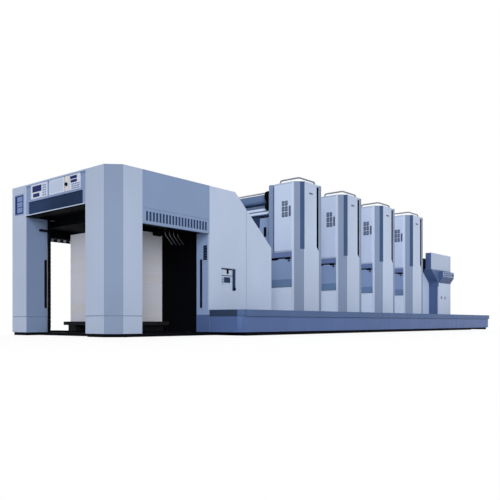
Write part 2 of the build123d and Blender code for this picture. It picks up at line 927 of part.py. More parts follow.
save("unit_side_frames", *[side for x in unit_xs for side in both_sides(side_frame(x))])
save("unit_front_panels", *[side for x in unit_xs for side in both_sides(front_panel(x))])
save("guard_headers", *[guard_header(x) for x in unit_xs])
save("guard_hinge_rods", *[hinge_rod(x) for x in unit_xs])
save("plate_cylinders", *[cylinder(x + plate_cylinder_x, plate_cylinder_z) for x in unit_xs])
save("blanket_cylinders", *[cylinder(x + blanket_cylinder_x, blanket_cylinder_z) for x in unit_xs])
save("ink_rollers", *[roller for x in unit_xs for roller in ink_rollers(x)])
save("ink_bars", *[bar for x in unit_xs for bar in ink_bars(x)])
save("unit_handrails", *[side for x in unit_xs for side in both_sides(handrail(x))])

save("feeder_sides", *both_sides(feeder_side()))
save("feeder_panels", *both_sides(feeder_panel()), *both_sides(feed_panel()))
save("feeder_head_covers", *both_sides(feeder_head_cover()))
save("feeder_console", feeder_console())
save("feeder_switch_box", switch_box())
save("feeder_traverse", feeder_traverse())
save("feed_board", feed_board())
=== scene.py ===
"""Looks of a four-unit sheet-fed offset printing press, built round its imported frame.

Metres. +X runs from the delivery to the feeder, +Y from the operator side to the drive side, +Z up.
A depth is measured inwards from the outer plane of the operator-side covers.
"""
import logging
import math
from dataclasses import dataclass
from enum import Enum

import bpy
import numpy as np
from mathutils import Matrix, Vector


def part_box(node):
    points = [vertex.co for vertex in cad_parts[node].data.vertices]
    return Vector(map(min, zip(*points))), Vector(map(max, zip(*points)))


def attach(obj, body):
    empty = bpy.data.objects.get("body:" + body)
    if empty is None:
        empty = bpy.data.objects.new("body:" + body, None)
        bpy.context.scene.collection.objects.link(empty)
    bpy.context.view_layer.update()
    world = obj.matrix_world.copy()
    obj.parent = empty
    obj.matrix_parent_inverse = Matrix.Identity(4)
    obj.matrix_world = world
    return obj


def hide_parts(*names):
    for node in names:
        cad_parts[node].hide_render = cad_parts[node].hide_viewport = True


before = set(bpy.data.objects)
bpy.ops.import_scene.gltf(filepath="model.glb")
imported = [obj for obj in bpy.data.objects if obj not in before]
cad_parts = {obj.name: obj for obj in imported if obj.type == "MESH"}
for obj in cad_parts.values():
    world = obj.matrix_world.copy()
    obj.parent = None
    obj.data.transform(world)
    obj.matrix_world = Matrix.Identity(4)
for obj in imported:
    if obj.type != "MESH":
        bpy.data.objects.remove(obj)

Array = np.ndarray
Values = float | tuple[float, ...] | list[float] | Array
Colour = tuple[int, int, int]
Pair = tuple[float, float]
Triple = tuple[float, float, float]
Rectangle = tuple[float, float, float, float]
Grid = tuple[int, int, float]
Gear = tuple[float, float, float, float, int]
Place = tuple[int, Pair, Pair]
LOG = logging.getLogger("press")
PRESS = "press"
UNIT_NUMBERS = (1, 2, 3, 4)
SHARP = 0.0
WELD_REACH = 1e-5
BEVEL_ANGLE = math.radians(28.0)
BEVEL_SEGMENTS = 2
LEAST_CORNER_SHARE = 0.05
TOOTH_SHARES = (0.0, 0.44, 0.56, 0.88)
OFF_PATH = (0.48, 0.60, 0.64)
WHITE = (1.0, 1.0, 1.0, 1.0)


class Along(Enum):
    """The axis that a profile is carried along, with the two axes of the profile's own plane."""

    X = (0, 1, 2)
    Y = (1, 2, 0)
    Z = (2, 0, 1)


class Shading(Enum):
    """How the faces of a piece take the light."""

    FLAT = "flat"
    EVEN = "even"


# Surfaces


@dataclass
class Shell:
    """Closed skins as arrays: points, and faces grouped by their number of corners."""

    points: Array
    faces: list[Array]

    @staticmethod
    def joined(shells: list["Shell"]) -> "Shell":
        """Put several shells into one.

        Args:
            shells: The shells, which keep their own points.

        Returns:
            One shell whose faces point at the stacked points.
        """
        starts = np.cumsum([0] + [len(shell.points) for shell in shells[:-1]])
        faces = [group + start for shell, start in zip(shells, starts) for group in shell.faces]
        return Shell(np.concatenate([shell.points for shell in shells]), faces)

    def mirrored(self) -> "Shell":
        """The shell's twin on the other long side: Y changes sign and every face turns round."""
        return Shell(self.points * (1.0, -1.0, 1.0), [group[:, ::-1] for group in self.faces])

    def both_sides(self) -> "Shell":
        """The shell with its twin on the other long side."""
        return Shell.joined([self, self.mirrored()])


@dataclass(frozen=True)
class Span:
    """Box of a frame node at rest."""

    low: Array
    high: Array

    @classmethod
    def of(cls, node: str) -> "Span":
        """Read the box of one node."""
        low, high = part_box(node)
        return cls(np.array(low), np.array(high))


@dataclass(frozen=True)
class Rim:
    """How a slab is eased: radius of its profile's corners, radius of its ends, segments in each quarter."""

    corner: float
    edge: float
    steps: int = 1


@dataclass(frozen=True)
class Turning:
    """Outline of a turned piece: the radius and the rising height of each ring, and the points in a ring."""

    radii: tuple[float, ...]
    heights: tuple[float, ...]
    sides: int


@dataclass(frozen=True)
class Sheet:
    """A thin flat trim: how far it stands out, and the size of its eased rim."""

    thickness: float
    ease: float


TRIM = Sheet(0.0015, 0.00075)
LINING = Sheet(0.002, 0.0005)
THIN = Rim(0.001, 0.0005)
SEAM = Rim(0.0005, 0.0003)


def loft(rings: Array) -> Shell:
    """Skin stacks of rings and close both ends.

    Point s of ring r in copy n has the index (n * ring count + r) * side count + s. A face joins points
    s and s + 1 of rings r and r + 1, and a cap closes the first and the last ring.

    Args:
        rings: Points as (copies, rings, sides, 3), anticlockwise about the way the rings go.

    Returns:
        The skins of all copies.
    """
    copies, count, sides, _ = rings.shape
    index = np.arange(copies * count * sides).reshape(copies, count, sides)
    near, far = index[:, :-1], index[:, 1:]
    quads = np.stack([near, np.roll(near, -1, 2), np.roll(far, -1, 2), far], axis=-1).reshape(-1, 4)
    return Shell(rings.reshape(-1, 3), [quads, index[:, 0, ::-1], index[:, -1]])


def slabs(low: Values, high: Values, along: Along, rim: Rim) -> Shell:
    """Boxes with rounded corners and eased ends.

    The profile is a rectangle with quarter circles at its corners. It is carried along one axis, and at
    each end it draws in by edge * (1 - sin a) while it moves on by edge * (1 - cos a), a quarter round.

    Args:
        low: Lowest corners, (3,) or (copies, 3).
        high: Highest corners, likewise.
        along: The axis that the profile is carried along.
        rim: How the corners and the ends are eased.

    Returns:
        The skins of all boxes.
    """
    low = np.atleast_2d(np.asarray(low, float))
    high = np.atleast_2d(np.asarray(high, float))
    path, first, second = along.value
    turn = np.linspace(0.0, math.pi / 2, rim.steps + 1)
    inset = rim.edge * (1 - np.sin(turn))
    run = rim.edge * (1 - np.cos(turn))
    inset = np.concatenate([inset, inset[::-1]])
    height = np.concatenate([low[:, path, None] + run, high[:, path, None] - run[::-1]], axis=1)
    around = (np.arange(4)[:, None] * math.pi / 2 + turn).ravel()
    sign_first = np.repeat([1.0, -1.0, -1.0, 1.0], rim.steps + 1)
    sign_second = np.repeat([1.0, 1.0, -1.0, -1.0], rim.steps + 1)
    radius = np.maximum(rim.corner - inset, rim.edge * LEAST_CORNER_SHARE)
    middle = (low + high) / 2
    half = (high - low) / 2
    rings = np.empty((len(low), len(inset), len(around), 3))
    rings[..., path] = height[:, :, None]
    for axis, sign, swing in ((first, sign_first, np.cos(around)), (second, sign_second, np.sin(around))):
        straight = half[:, axis, None] - inset - radius
        rings[..., axis] = (
            middle[:, axis, None, None] + straight[:, :, None] * sign + radius[:, None] * swing
        )
    return loft(rings)


def panels(axis: Along, planes: Values, low: Values, high: Values, rim: Rim,
           along: Along | None = None) -> Shell:
    """Slabs that stand on flat rectangles.

    Args:
        axis: The axis across the rectangles: X for (y, z), Y for (x, z) and Z for (x, y).
        planes: Where the slabs start and end along that axis.
        low: Lowest corners of the rectangles, (2,) or (copies, 2).
        high: Highest corners, likewise.
        rim: How the corners and the ends are eased.
        along: The axis that the profile is carried along, where it is another one.

    Returns:
        The skins of all slabs.
    """
    place = axis.value[0]
    low = np.insert(np.atleast_2d(np.asarray(low, float)), place, planes[0], axis=1)
    high = np.insert(np.atleast_2d(np.asarray(high, float)), place, planes[1], axis=1)
    return slabs(low, high, along or axis, rim)


def turned(centres: Values, along: Along, outline: Turning) -> Shell:
    """Turned pieces such as knobs, rollers and screws.

    A profile of radius against height goes round an axis: the point at angle a of ring r lies at
    radius[r] * (cos a, sin a) in the plane across the axis, and at height[r] along it.

    Args:
        centres: Where each copy's height is zero, (3,) or (copies, 3).
        along: The axis of turning.
        outline: The profile.

    Returns:
        The skins of all copies.
    """
    centres = np.atleast_2d(np.asarray(centres, float))
    path, first, second = along.value
    angle = np.arange(outline.sides) * 2 * math.pi / outline.sides
    radii = np.array(outline.radii)[:, None]
    rings = np.empty((len(centres), len(radii), outline.sides, 3))
    rings[..., path] = centres[:, path, None, None] + np.array(outline.heights)[:, None]
    rings[..., first] = centres[:, first, None, None] + radii * np.cos(angle)
    rings[..., second] = centres[:, second, None, None] + radii * np.sin(angle)
    return loft(rings)


def toothed(centre: Triple, radius: float, tooth: float, teeth: int, length: float) -> Shell:
    """A spur gear on an axis along Y.

    Each tooth takes four angles, two at the root radius and two at the root radius plus the tooth, and the
    outline is carried along Y with its ends drawn in a little.

    Args:
        centre: Middle of the end with the lowest Y.
        radius: Root radius.
        tooth: Height of a tooth.
        teeth: Number of teeth.
        length: Face width.

    Returns:
        The skin of the gear.
    """
    angle = (np.arange(teeth)[:, None] + np.array(TOOTH_SHARES)) * 2 * math.pi / teeth
    reach = np.broadcast_to(radius + tooth * np.array([0.0, 0.0, 1.0, 1.0]), angle.shape)
    wheel = np.stack([reach * np.sin(angle), np.zeros_like(angle), reach * np.cos(angle)], -1).reshape(-1, 3)
    ease = tooth / 3
    shrink = np.array([1 - ease / radius, 1.0, 1.0, 1 - ease / radius])[:, None, None]
    shift = np.array([0.0, ease, length - ease, length])[:, None, None] * np.array([0.0, 1.0, 0.0])
    return loft((np.asarray(centre) + wheel * shrink + shift)[None])


def plate(corners: Array, sheet: Sheet) -> Shell:
    """Flat trims with eased rims.

    The outline goes out along its normal: full size at its foot and at thickness - ease, then drawn in
    towards its middle by ease at the full thickness.

    Args:
        corners: Outlines, (sides, 3) or (copies, sides, 3), anticlockwise as seen from outside.
        sheet: How far the trim stands out, and the size of its rim.

    Returns:
        The skins of all trims.
    """
    corners = np.asarray(corners, float)
    corners = corners.reshape(-1, *corners.shape[-2:])
    normal = np.cross(corners[:, 1] - corners[:, 0], corners[:, 2] - corners[:, 1])
    normal /= np.linalg.norm(normal, axis=1, keepdims=True)
    inward = corners.mean(axis=1, keepdims=True) - corners
    inward /= np.linalg.norm(inward, axis=2, keepdims=True)
    lift = np.array([0.0, sheet.thickness - sheet.ease, sheet.thickness])[None, :, None, None]
    draw = np.array([0.0, 0.0, sheet.ease])[None, :, None, None]
    return loft(corners[:, None] + lift * normal[:, None, None] + draw * inward[:, None])


def strip_up(start: Pair, end: Pair, levels: Pair) -> Array:
    """Corners of an upright rectangle.

    Args:
        start: Plan point (x, y) of its left edge, as seen from outside.
        end: Plan point of its right edge.
        levels: Its lowest and highest Z.

    Returns:
        Four corners, anticlockwise as seen from outside.
    """
    low, high = levels
    return np.array([[*start, low], [*end, low], [*end, high], [*start, high]])


def bent_path(corners: Array, radius: float, steps: int = 6) -> Array:
    """A path of straight runs joined by smooth bends.

    Each inner corner B gives way to the curve (1 - t)^2 A + 2 t (1 - t) B + t^2 C between the points A and C
    that lie a radius before and after it.

    Args:
        corners: Corner points, (count, 3).
        radius: Length of run that each bend takes on either side of its corner.
        steps: Segments in each bend.

    Returns:
        The points of the path.
    """
    corners = np.asarray(corners, float)
    before = corners[:-2] - corners[1:-1]
    after = corners[2:] - corners[1:-1]
    start = corners[1:-1] + radius * before / np.linalg.norm(before, axis=1, keepdims=True)
    end = corners[1:-1] + radius * after / np.linalg.norm(after, axis=1, keepdims=True)
    t = np.linspace(0.0, 1.0, steps + 1)[None, :, None]
    bends = (1 - t) ** 2 * start[:, None] + 2 * t * (1 - t) * corners[1:-1, None] + t**2 * end[:, None]
    return np.concatenate([corners[:1], bends.reshape(-1, 3), corners[-1:]])


def tube(path: Array, radius: float, sides: int) -> Shell:
    """A round tube along a path.

    At each point the ring lies across the path's direction d, on the axes u = k x d and v = d x u, where k
    is a fixed direction that the path never takes.

    Args:
        path: Points of the path, (count, 3).
        radius: Radius of the tube.
        sides: Points in each ring.

    Returns:
        The skin of the tube.
    """
    step = np.diff(path, axis=0)
    step /= np.linalg.norm(step, axis=1, keepdims=True)
    way = np.concatenate([step[:1], step[:-1] + step[1:], step[-1:]])
    way /= np.linalg.norm(way, axis=1, keepdims=True)
    across = np.cross(np.broadcast_to(OFF_PATH, way.shape), way)
    across /= np.linalg.norm(across, axis=1, keepdims=True)
    up = np.cross(way, across)
    angle = np.arange(sides) * 2 * math.pi / sides
    rings = path[:, None] + radius * (
        np.cos(angle)[None, :, None] * across[:, None] + np.sin(angle)[None, :, None] * up[:, None]
    )
    return loft(rings[None])


def cells(low: Values, high: Values, columns: int, rows: int, gap: float) -> tuple[Array, Array]:
    """Split a rectangle into a grid of equal cells.

    Cell (c, r) starts at low + (c, r) * pitch, where pitch * count = side + gap, and is pitch - gap long.

    Args:
        low: Lowest corner of the rectangle.
        high: Highest corner.
        columns: Cells along the first axis.
        rows: Cells along the second axis.
        gap: Space between cells.

    Returns:
        Lowest and highest corners of the cells, (cells, 2) each.
    """
    low, high = np.asarray(low, float), np.asarray(high, float)
    pitch = (high - low + gap) / np.array([columns, rows])
    index = np.stack(np.meshgrid(np.arange(columns), np.arange(rows), indexing="ij"), -1).reshape(-1, 2)
    start = low + index * pitch
    return start, start + pitch - gap


def lattice(x: Values, y: Values, z: Values) -> Array:
    """Every point whose X, Y and Z are among the values given, (count, 3), with Z changing fastest."""
    return np.stack(np.meshgrid(x, y, z, indexing="ij"), -1).reshape(-1, 3)


# Finishes


def linear(colour: Colour) -> tuple[float, float, float, float]:
    """Turn a colour as the eye reads it into the shader's linear light.

    Args:
        colour: Red, green and blue from 0 to 255.

    Returns:
        Red, green, blue and a full alpha.
    """
    share = np.asarray(colour, float) / 255.0
    light = np.where(share <= 0.04045, share / 12.92, ((share + 0.055) / 1.055) ** 2.4)
    return (*light.tolist(), 1.0)


def shaded(colour: Colour, share: float) -> Colour:
    """A colour made darker or lighter by a share, as the eye reads it."""
    return tuple(int(min(255, max(0, round(part * share)))) for part in colour)


class Graph:
    """Node graph of one material, which reads Object coordinates."""

    def __init__(self, name: str) -> None:
        """Start a material that has only its shader and its coordinates."""
        self.material = bpy.data.materials.new(name)
        self.material.use_nodes = True
        self.nodes = self.material.node_tree.nodes
        self.links = self.material.node_tree.links
        self.shader = self.nodes["Principled BSDF"]
        self.place = self.nodes.new("ShaderNodeTexCoord").outputs["Object"]

    def noise(self, stretch: Triple, detail: float) -> bpy.types.NodeSocket:
        """A cloudy pattern.

        Args:
            stretch: Cells per metre along X, Y and Z.
            detail: Octaves of finer cloud.

        Returns:
            The pattern's value, about 0.5 on average.
        """
        mapping = self.nodes.new("ShaderNodeMapping")
        mapping.inputs["Scale"].default_value = stretch
        self.links.new(self.place, mapping.inputs["Vector"])
        cloud = self.nodes.new("ShaderNodeTexNoise")
        cloud.inputs["Scale"].default_value = 1.0
        cloud.inputs["Detail"].default_value = detail
        self.links.new(mapping.outputs["Vector"], cloud.inputs["Vector"])
        return cloud.outputs["Fac"]

    def spread(self, value: bpy.types.NodeSocket, low: float, high: float, start: float = 0.3,
               end: float = 0.7) -> bpy.types.NodeSocket:
        """Stretch a pattern between two values.

        Args:
            value: The pattern.
            low: Result where the pattern is at or below start.
            high: Result where the pattern is at or above end.
            start: Where the stretch starts.
            end: Where the stretch ends.

        Returns:
            The stretched value.
        """
        ranged = self.nodes.new("ShaderNodeMapRange")
        for name, number in (("From Min", start), ("From Max", end), ("To Min", low), ("To Max", high)):
            ranged.inputs[name].default_value = number
        self.links.new(value, ranged.inputs["Value"])
        return ranged.outputs["Result"]

    def mix(self, value: bpy.types.NodeSocket, first: Colour | bpy.types.NodeSocket,
            second: Colour) -> bpy.types.NodeSocket:
        """Mix two colours by a pattern.

        Args:
            value: The pattern, from 0 for the first colour to 1 for the second.
            first: One colour, or the socket of a colour.
            second: The other colour.

        Returns:
            The mixed colour.
        """
        mixer = self.nodes.new("ShaderNodeMix")
        mixer.data_type = "RGBA"
        if isinstance(first, tuple):
            mixer.inputs["A"].default_value = linear(first)
        else:
            self.links.new(first, mixer.inputs["A"])
        mixer.inputs["B"].default_value = linear(second)
        self.links.new(value, mixer.inputs["Factor"])
        return mixer.outputs["Result"]

    def paint(self, socket: str, value: bpy.types.NodeSocket) -> None:
        """Drive one socket of the shader."""
        self.links.new(value, self.shader.inputs[socket])

    def emboss(self, value: bpy.types.NodeSocket, depth: float) -> None:
        """Raise the surface by a pattern, to a depth in metres."""
        bump = self.nodes.new("ShaderNodeBump")
        bump.inputs["Strength"].default_value = 1.0
        bump.inputs["Distance"].default_value = depth
        self.links.new(value, bump.inputs["Height"])
        self.links.new(bump.outputs["Normal"], self.shader.inputs["Normal"])


@dataclass(frozen=True)
class Finish:
    """What all finishes share: a name, a colour and the record's slot."""

    name: str
    colour: Colour
    slot: str

    def material(self) -> bpy.types.Material:
        """Make the finish's material the first time it is asked for."""
        return bpy.data.materials.get(self.name) or self.make()

    def make(self) -> bpy.types.Material:
        """Make the material."""
        raise NotImplementedError


@dataclass(frozen=True)
class Paint(Finish):
    """Stoved enamel on sheet steel: cloudy tone, an orange-peel skin, scuffed gloss and worn specks."""

    gloss: float = 0.42
    drift: float = 0.035
    peel: float = 0.00012
    shine: float = 0.30
    wear: float = 0.0
    gloss_swing: Pair = (-0.06, 0.08)
    cloud_scale: Triple = (0.9, 0.9, 0.5)
    scuff_scale: Triple = (9.0, 9.0, 3.0)
    peel_scale: Triple = (320.0, 320.0, 320.0)
    speck_scale: Triple = (70.0, 34.0, 60.0)
    speck_range: Pair = (0.58, 0.72)
    speck_tone: float = 1.45

    def make(self) -> bpy.types.Material:
        """Make the enamel: broad clouds tint it, finer ones vary its gloss, and specks show its wear."""
        graph = Graph(self.name)
        cloud = graph.spread(graph.noise(self.cloud_scale, detail=4.0), 0.0, 1.0)
        low, high = shaded(self.colour, 1 - self.drift), shaded(self.colour, 1 + self.drift)
        tone = graph.mix(cloud, low, high)
        scuff = graph.noise(self.scuff_scale, detail=5.0)
        if self.wear:
            specks = graph.noise(self.speck_scale, detail=6.0)
            specks = graph.spread(specks, 0.0, self.wear, *self.speck_range)
            tone = graph.mix(specks, tone, shaded(self.colour, self.speck_tone))
        graph.paint("Base Color", tone)
        low, high = (self.gloss + swing for swing in self.gloss_swing)
        graph.paint("Roughness", graph.spread(scuff, low, high))
        graph.emboss(graph.noise(self.peel_scale, detail=2.0), self.peel)
        graph.shader.inputs["Specular IOR Level"].default_value = self.shine
        return graph.material


@dataclass(frozen=True)
class Metal(Finish):
    """Bright steel with fine lines along one axis."""

    stretch: Triple = (40.0, 2.0, 40.0)
    gloss: float = 0.28
    gloss_swing: Pair = (-0.06, 0.12)
    line_tone: float = 0.88
    line_depth: float = 0.00006

    def make(self) -> bpy.types.Material:
        """Make the steel: one stretched pattern gives its lines their tone, gloss and depth."""
        graph = Graph(self.name)
        lines = graph.noise(self.stretch, detail=4.0)
        tone = graph.mix(graph.spread(lines, 0.0, 1.0), shaded(self.colour, self.line_tone), self.colour)
        graph.paint("Base Color", tone)
        low, high = (self.gloss + swing for swing in self.gloss_swing)
        graph.paint("Roughness", graph.spread(lines, low, high))
        graph.emboss(lines, self.line_depth)
        graph.shader.inputs["Metallic"].default_value = 1.0
        return graph.material


@dataclass(frozen=True)
class SheetEdges(Finish):
    """Cut edges of stacked paper: fine level lines, with broad bands from one batch to the next."""

    warm: Colour = (205, 203, 208)
    gloss: float = 0.9
    shine: float = 0.15
    band_scale: Triple = (0.8, 0.8, 9.0)
    line_scale: Triple = (3.0, 3.0, 900.0)
    line_share: float = 0.35
    line_range: Pair = (0.45, 0.75)
    line_tone: float = 0.8
    line_depth: float = 0.0004

    def make(self) -> bpy.types.Material:
        """Make the paper: bands mix a cool and a warm white, and fine lines darken and emboss it."""
        graph = Graph(self.name)
        bands = graph.spread(graph.noise(self.band_scale, detail=3.0), 0.0, 1.0)
        lines = graph.noise(self.line_scale, detail=2.0)
        tone = graph.mix(bands, self.colour, self.warm)
        shade = graph.spread(lines, 0.0, self.line_share, *self.line_range)
        graph.paint("Base Color", graph.mix(shade, tone, shaded(self.colour, self.line_tone)))
        graph.emboss(lines, self.line_depth)
        graph.shader.inputs["Roughness"].default_value = self.gloss
        graph.shader.inputs["Specular IOR Level"].default_value = self.shine
        return graph.material


COVER = Paint("cover_enamel", (177, 191, 215), "cover_paint")
# A darker copy of the cover enamel: painted shade on the front pillars and the feeder's head covers.
COVER_SHADED = Paint("cover_enamel_painted_shade", (162, 176, 200), "cover_paint")
# Darker enamel: on the chamfers and the units' back strips it is painted shade; on the tile faces and roof
# seams it is their own colour.
PAINTED_SHADE_AND_TRIM = Paint("painted_shade_and_trim_enamel", (121, 136, 162), "cover_paint")
# Darker sheet: painted shade of the bay on the pillars' inner faces, and the plain colour of the incline's
# end panels.
INNER_SHADE_AND_PANEL = Paint("painted_shade_and_panel_enamel", (117, 136, 168), "cover_paint")
# Pale plate under the guard: painted light that lifts the shade between the units.
FOOT_LIGHT = Paint("foot_painted_light", (214, 228, 250), "panel_paint")
PALE = Paint("edge_enamel", (210, 221, 243), "panel_paint")
# Front panel enamel, lighter than the cover: partly its own paint, partly painted light that lifts the shade
# between the units.
PANEL_LIT = Paint("panel_enamel_painted_light", (197, 212, 238), "panel_paint")
INSERT = Paint("insert_enamel", (50, 74, 110), "dark_paint")
FASCIA = Paint("fascia_enamel", (122, 142, 175), "fascia_paint")
BAR = Paint("ink_bar_enamel", (90, 114, 152), "fascia_paint")
BEAM = Paint("beam_enamel", (122, 141, 181), "cover_paint")
GUARD = Paint("guard_enamel", (136, 158, 197), "guard_paint")
# A darker copy of the guard enamel: painted shade on the guard's downward-facing fold.
FOLD_SHADE = Paint("guard_fold_painted_shade", (117, 146, 185), "guard_paint")
HEADER = Paint("header_enamel", (105, 125, 169), "guard_paint")
DARK = Paint("feeder_enamel", (72, 93, 134), "dark_paint")
SKIRT = Paint("skirt_enamel", (76, 99, 146), "skirt_paint", wear=0.12)
TREAD = Paint("tread_enamel", (71, 94, 134), "dark_paint", gloss=0.5, wear=0.3)
# Dark navy plate on the treads' front ends: painted shade.
TREAD_END_SHADE = Paint("tread_end_painted_shade", (41, 57, 84), "dark_paint", gloss=0.5)
# Black enamel of the dark parts; on slot backs and linings, openings, the hinge gap and the hatch's top bar
# it is painted shade.
BLACK_AND_SHADE = Paint("black_enamel_and_shade", (7, 8, 14), "black_paint", gloss=0.7, shine=0.06)
KEY = Paint("key_plastic", (74, 82, 108), "black_paint", gloss=0.5, peel=0.00005)
# Dark sheet of the visor, windows, screens and grille ribs; on the fascia louvres it is painted shade of the
# slots.
VISOR_AND_SHADE = Paint("visor_sheet_and_shade", (45, 60, 90), "visor", gloss=0.7, drift=0.2, peel=0.00002, shine=0.0)
SCREEN = Paint("screen_glass", (26, 36, 92), "visor", gloss=0.4, drift=0.1, peel=0.00001, shine=0.06)
FIELD = Paint("screen_fields", (102, 129, 174), "visor", gloss=0.4, drift=0.1, peel=0.00001, shine=0.1)
CONTROL = Paint("control_face", (203, 212, 238), "control_face", gloss=0.36, peel=0.00005)
IVORY = Paint("control_strip", (212, 205, 200), "control_face", gloss=0.4, peel=0.00005)
STEEL = Metal("ground_steel", (196, 200, 208), "bright_steel")
CHROME = Metal("rail_chrome", (162, 170, 180), "bright_steel", (6.0, 6.0, 6.0), 0.3)
RUBBER = Paint("roller_rubber", (42, 44, 52), "roller_rubber", gloss=0.55, peel=0.0003)
BOARD = Paint("pile_board", (18, 18, 21), "pallet_wood", gloss=0.7, wear=0.3)
PAPER = SheetEdges("paper_edges", (204, 208, 220), "paper")


# Pieces


Coat = tuple[str, Finish, float]


class Assembly:
    """What the sub-assemblies share: dressing frame nodes and adding pieces."""

    def dress_all(self, coats: tuple[Coat, ...], prefix: str = "") -> None:
        """Give frame nodes their finishes and eased edges, by their names after a prefix."""
        for node, finish, edge in coats:
            self.dress(prefix + node, finish, edge)

    def dress(self, node: str, finish: Finish, edge: float) -> None:
        """Give a frame node its finish.

        Args:
            node: The node's name.
            finish: Its finish.
            edge: Radius of its eased edges, or SHARP.
        """
        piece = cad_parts[node]
        piece.data.materials.clear()
        piece.data.materials.append(finish.material())
        if edge != SHARP:
            weld = piece.modifiers.new("weld", "WELD")
            weld.merge_threshold = WELD_REACH
            bevel = piece.modifiers.new("eased_edges", "BEVEL")
            bevel.width = edge
            bevel.segments = BEVEL_SEGMENTS
            bevel.limit_method = "ANGLE"
            bevel.angle_limit = BEVEL_ANGLE
            bevel.harden_normals = True
        LOG.info("dressed %s with %s", node, finish.name)

    def add(self, name: str, shell: Shell, finish: Finish, body: str = PRESS,
            shading: Shading = Shading.EVEN) -> bpy.types.Object:
        """Make a piece and let it ride on a body.

        Args:
            name: The piece's name.
            shell: Its skins.
            finish: Its finish.
            body: The body it rides on.
            shading: How its faces take the light.

        Returns:
            The piece's object.
        """
        mesh = bpy.data.meshes.new(name)
        faces = [face for group in shell.faces for face in group.tolist()]
        mesh.from_pydata(shell.points.tolist(), [], faces)
        mesh.materials.append(finish.material())
        piece = bpy.data.objects.new(name, mesh)
        bpy.context.scene.collection.objects.link(piece)
        if shading is Shading.EVEN:
            mesh.shade_smooth()
            piece.modifiers.new("even_shading", "WEIGHTED_NORMAL")
        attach(piece, body)
        LOG.info("made %s on %s: %d points", name, body, len(shell.points))
        return piece


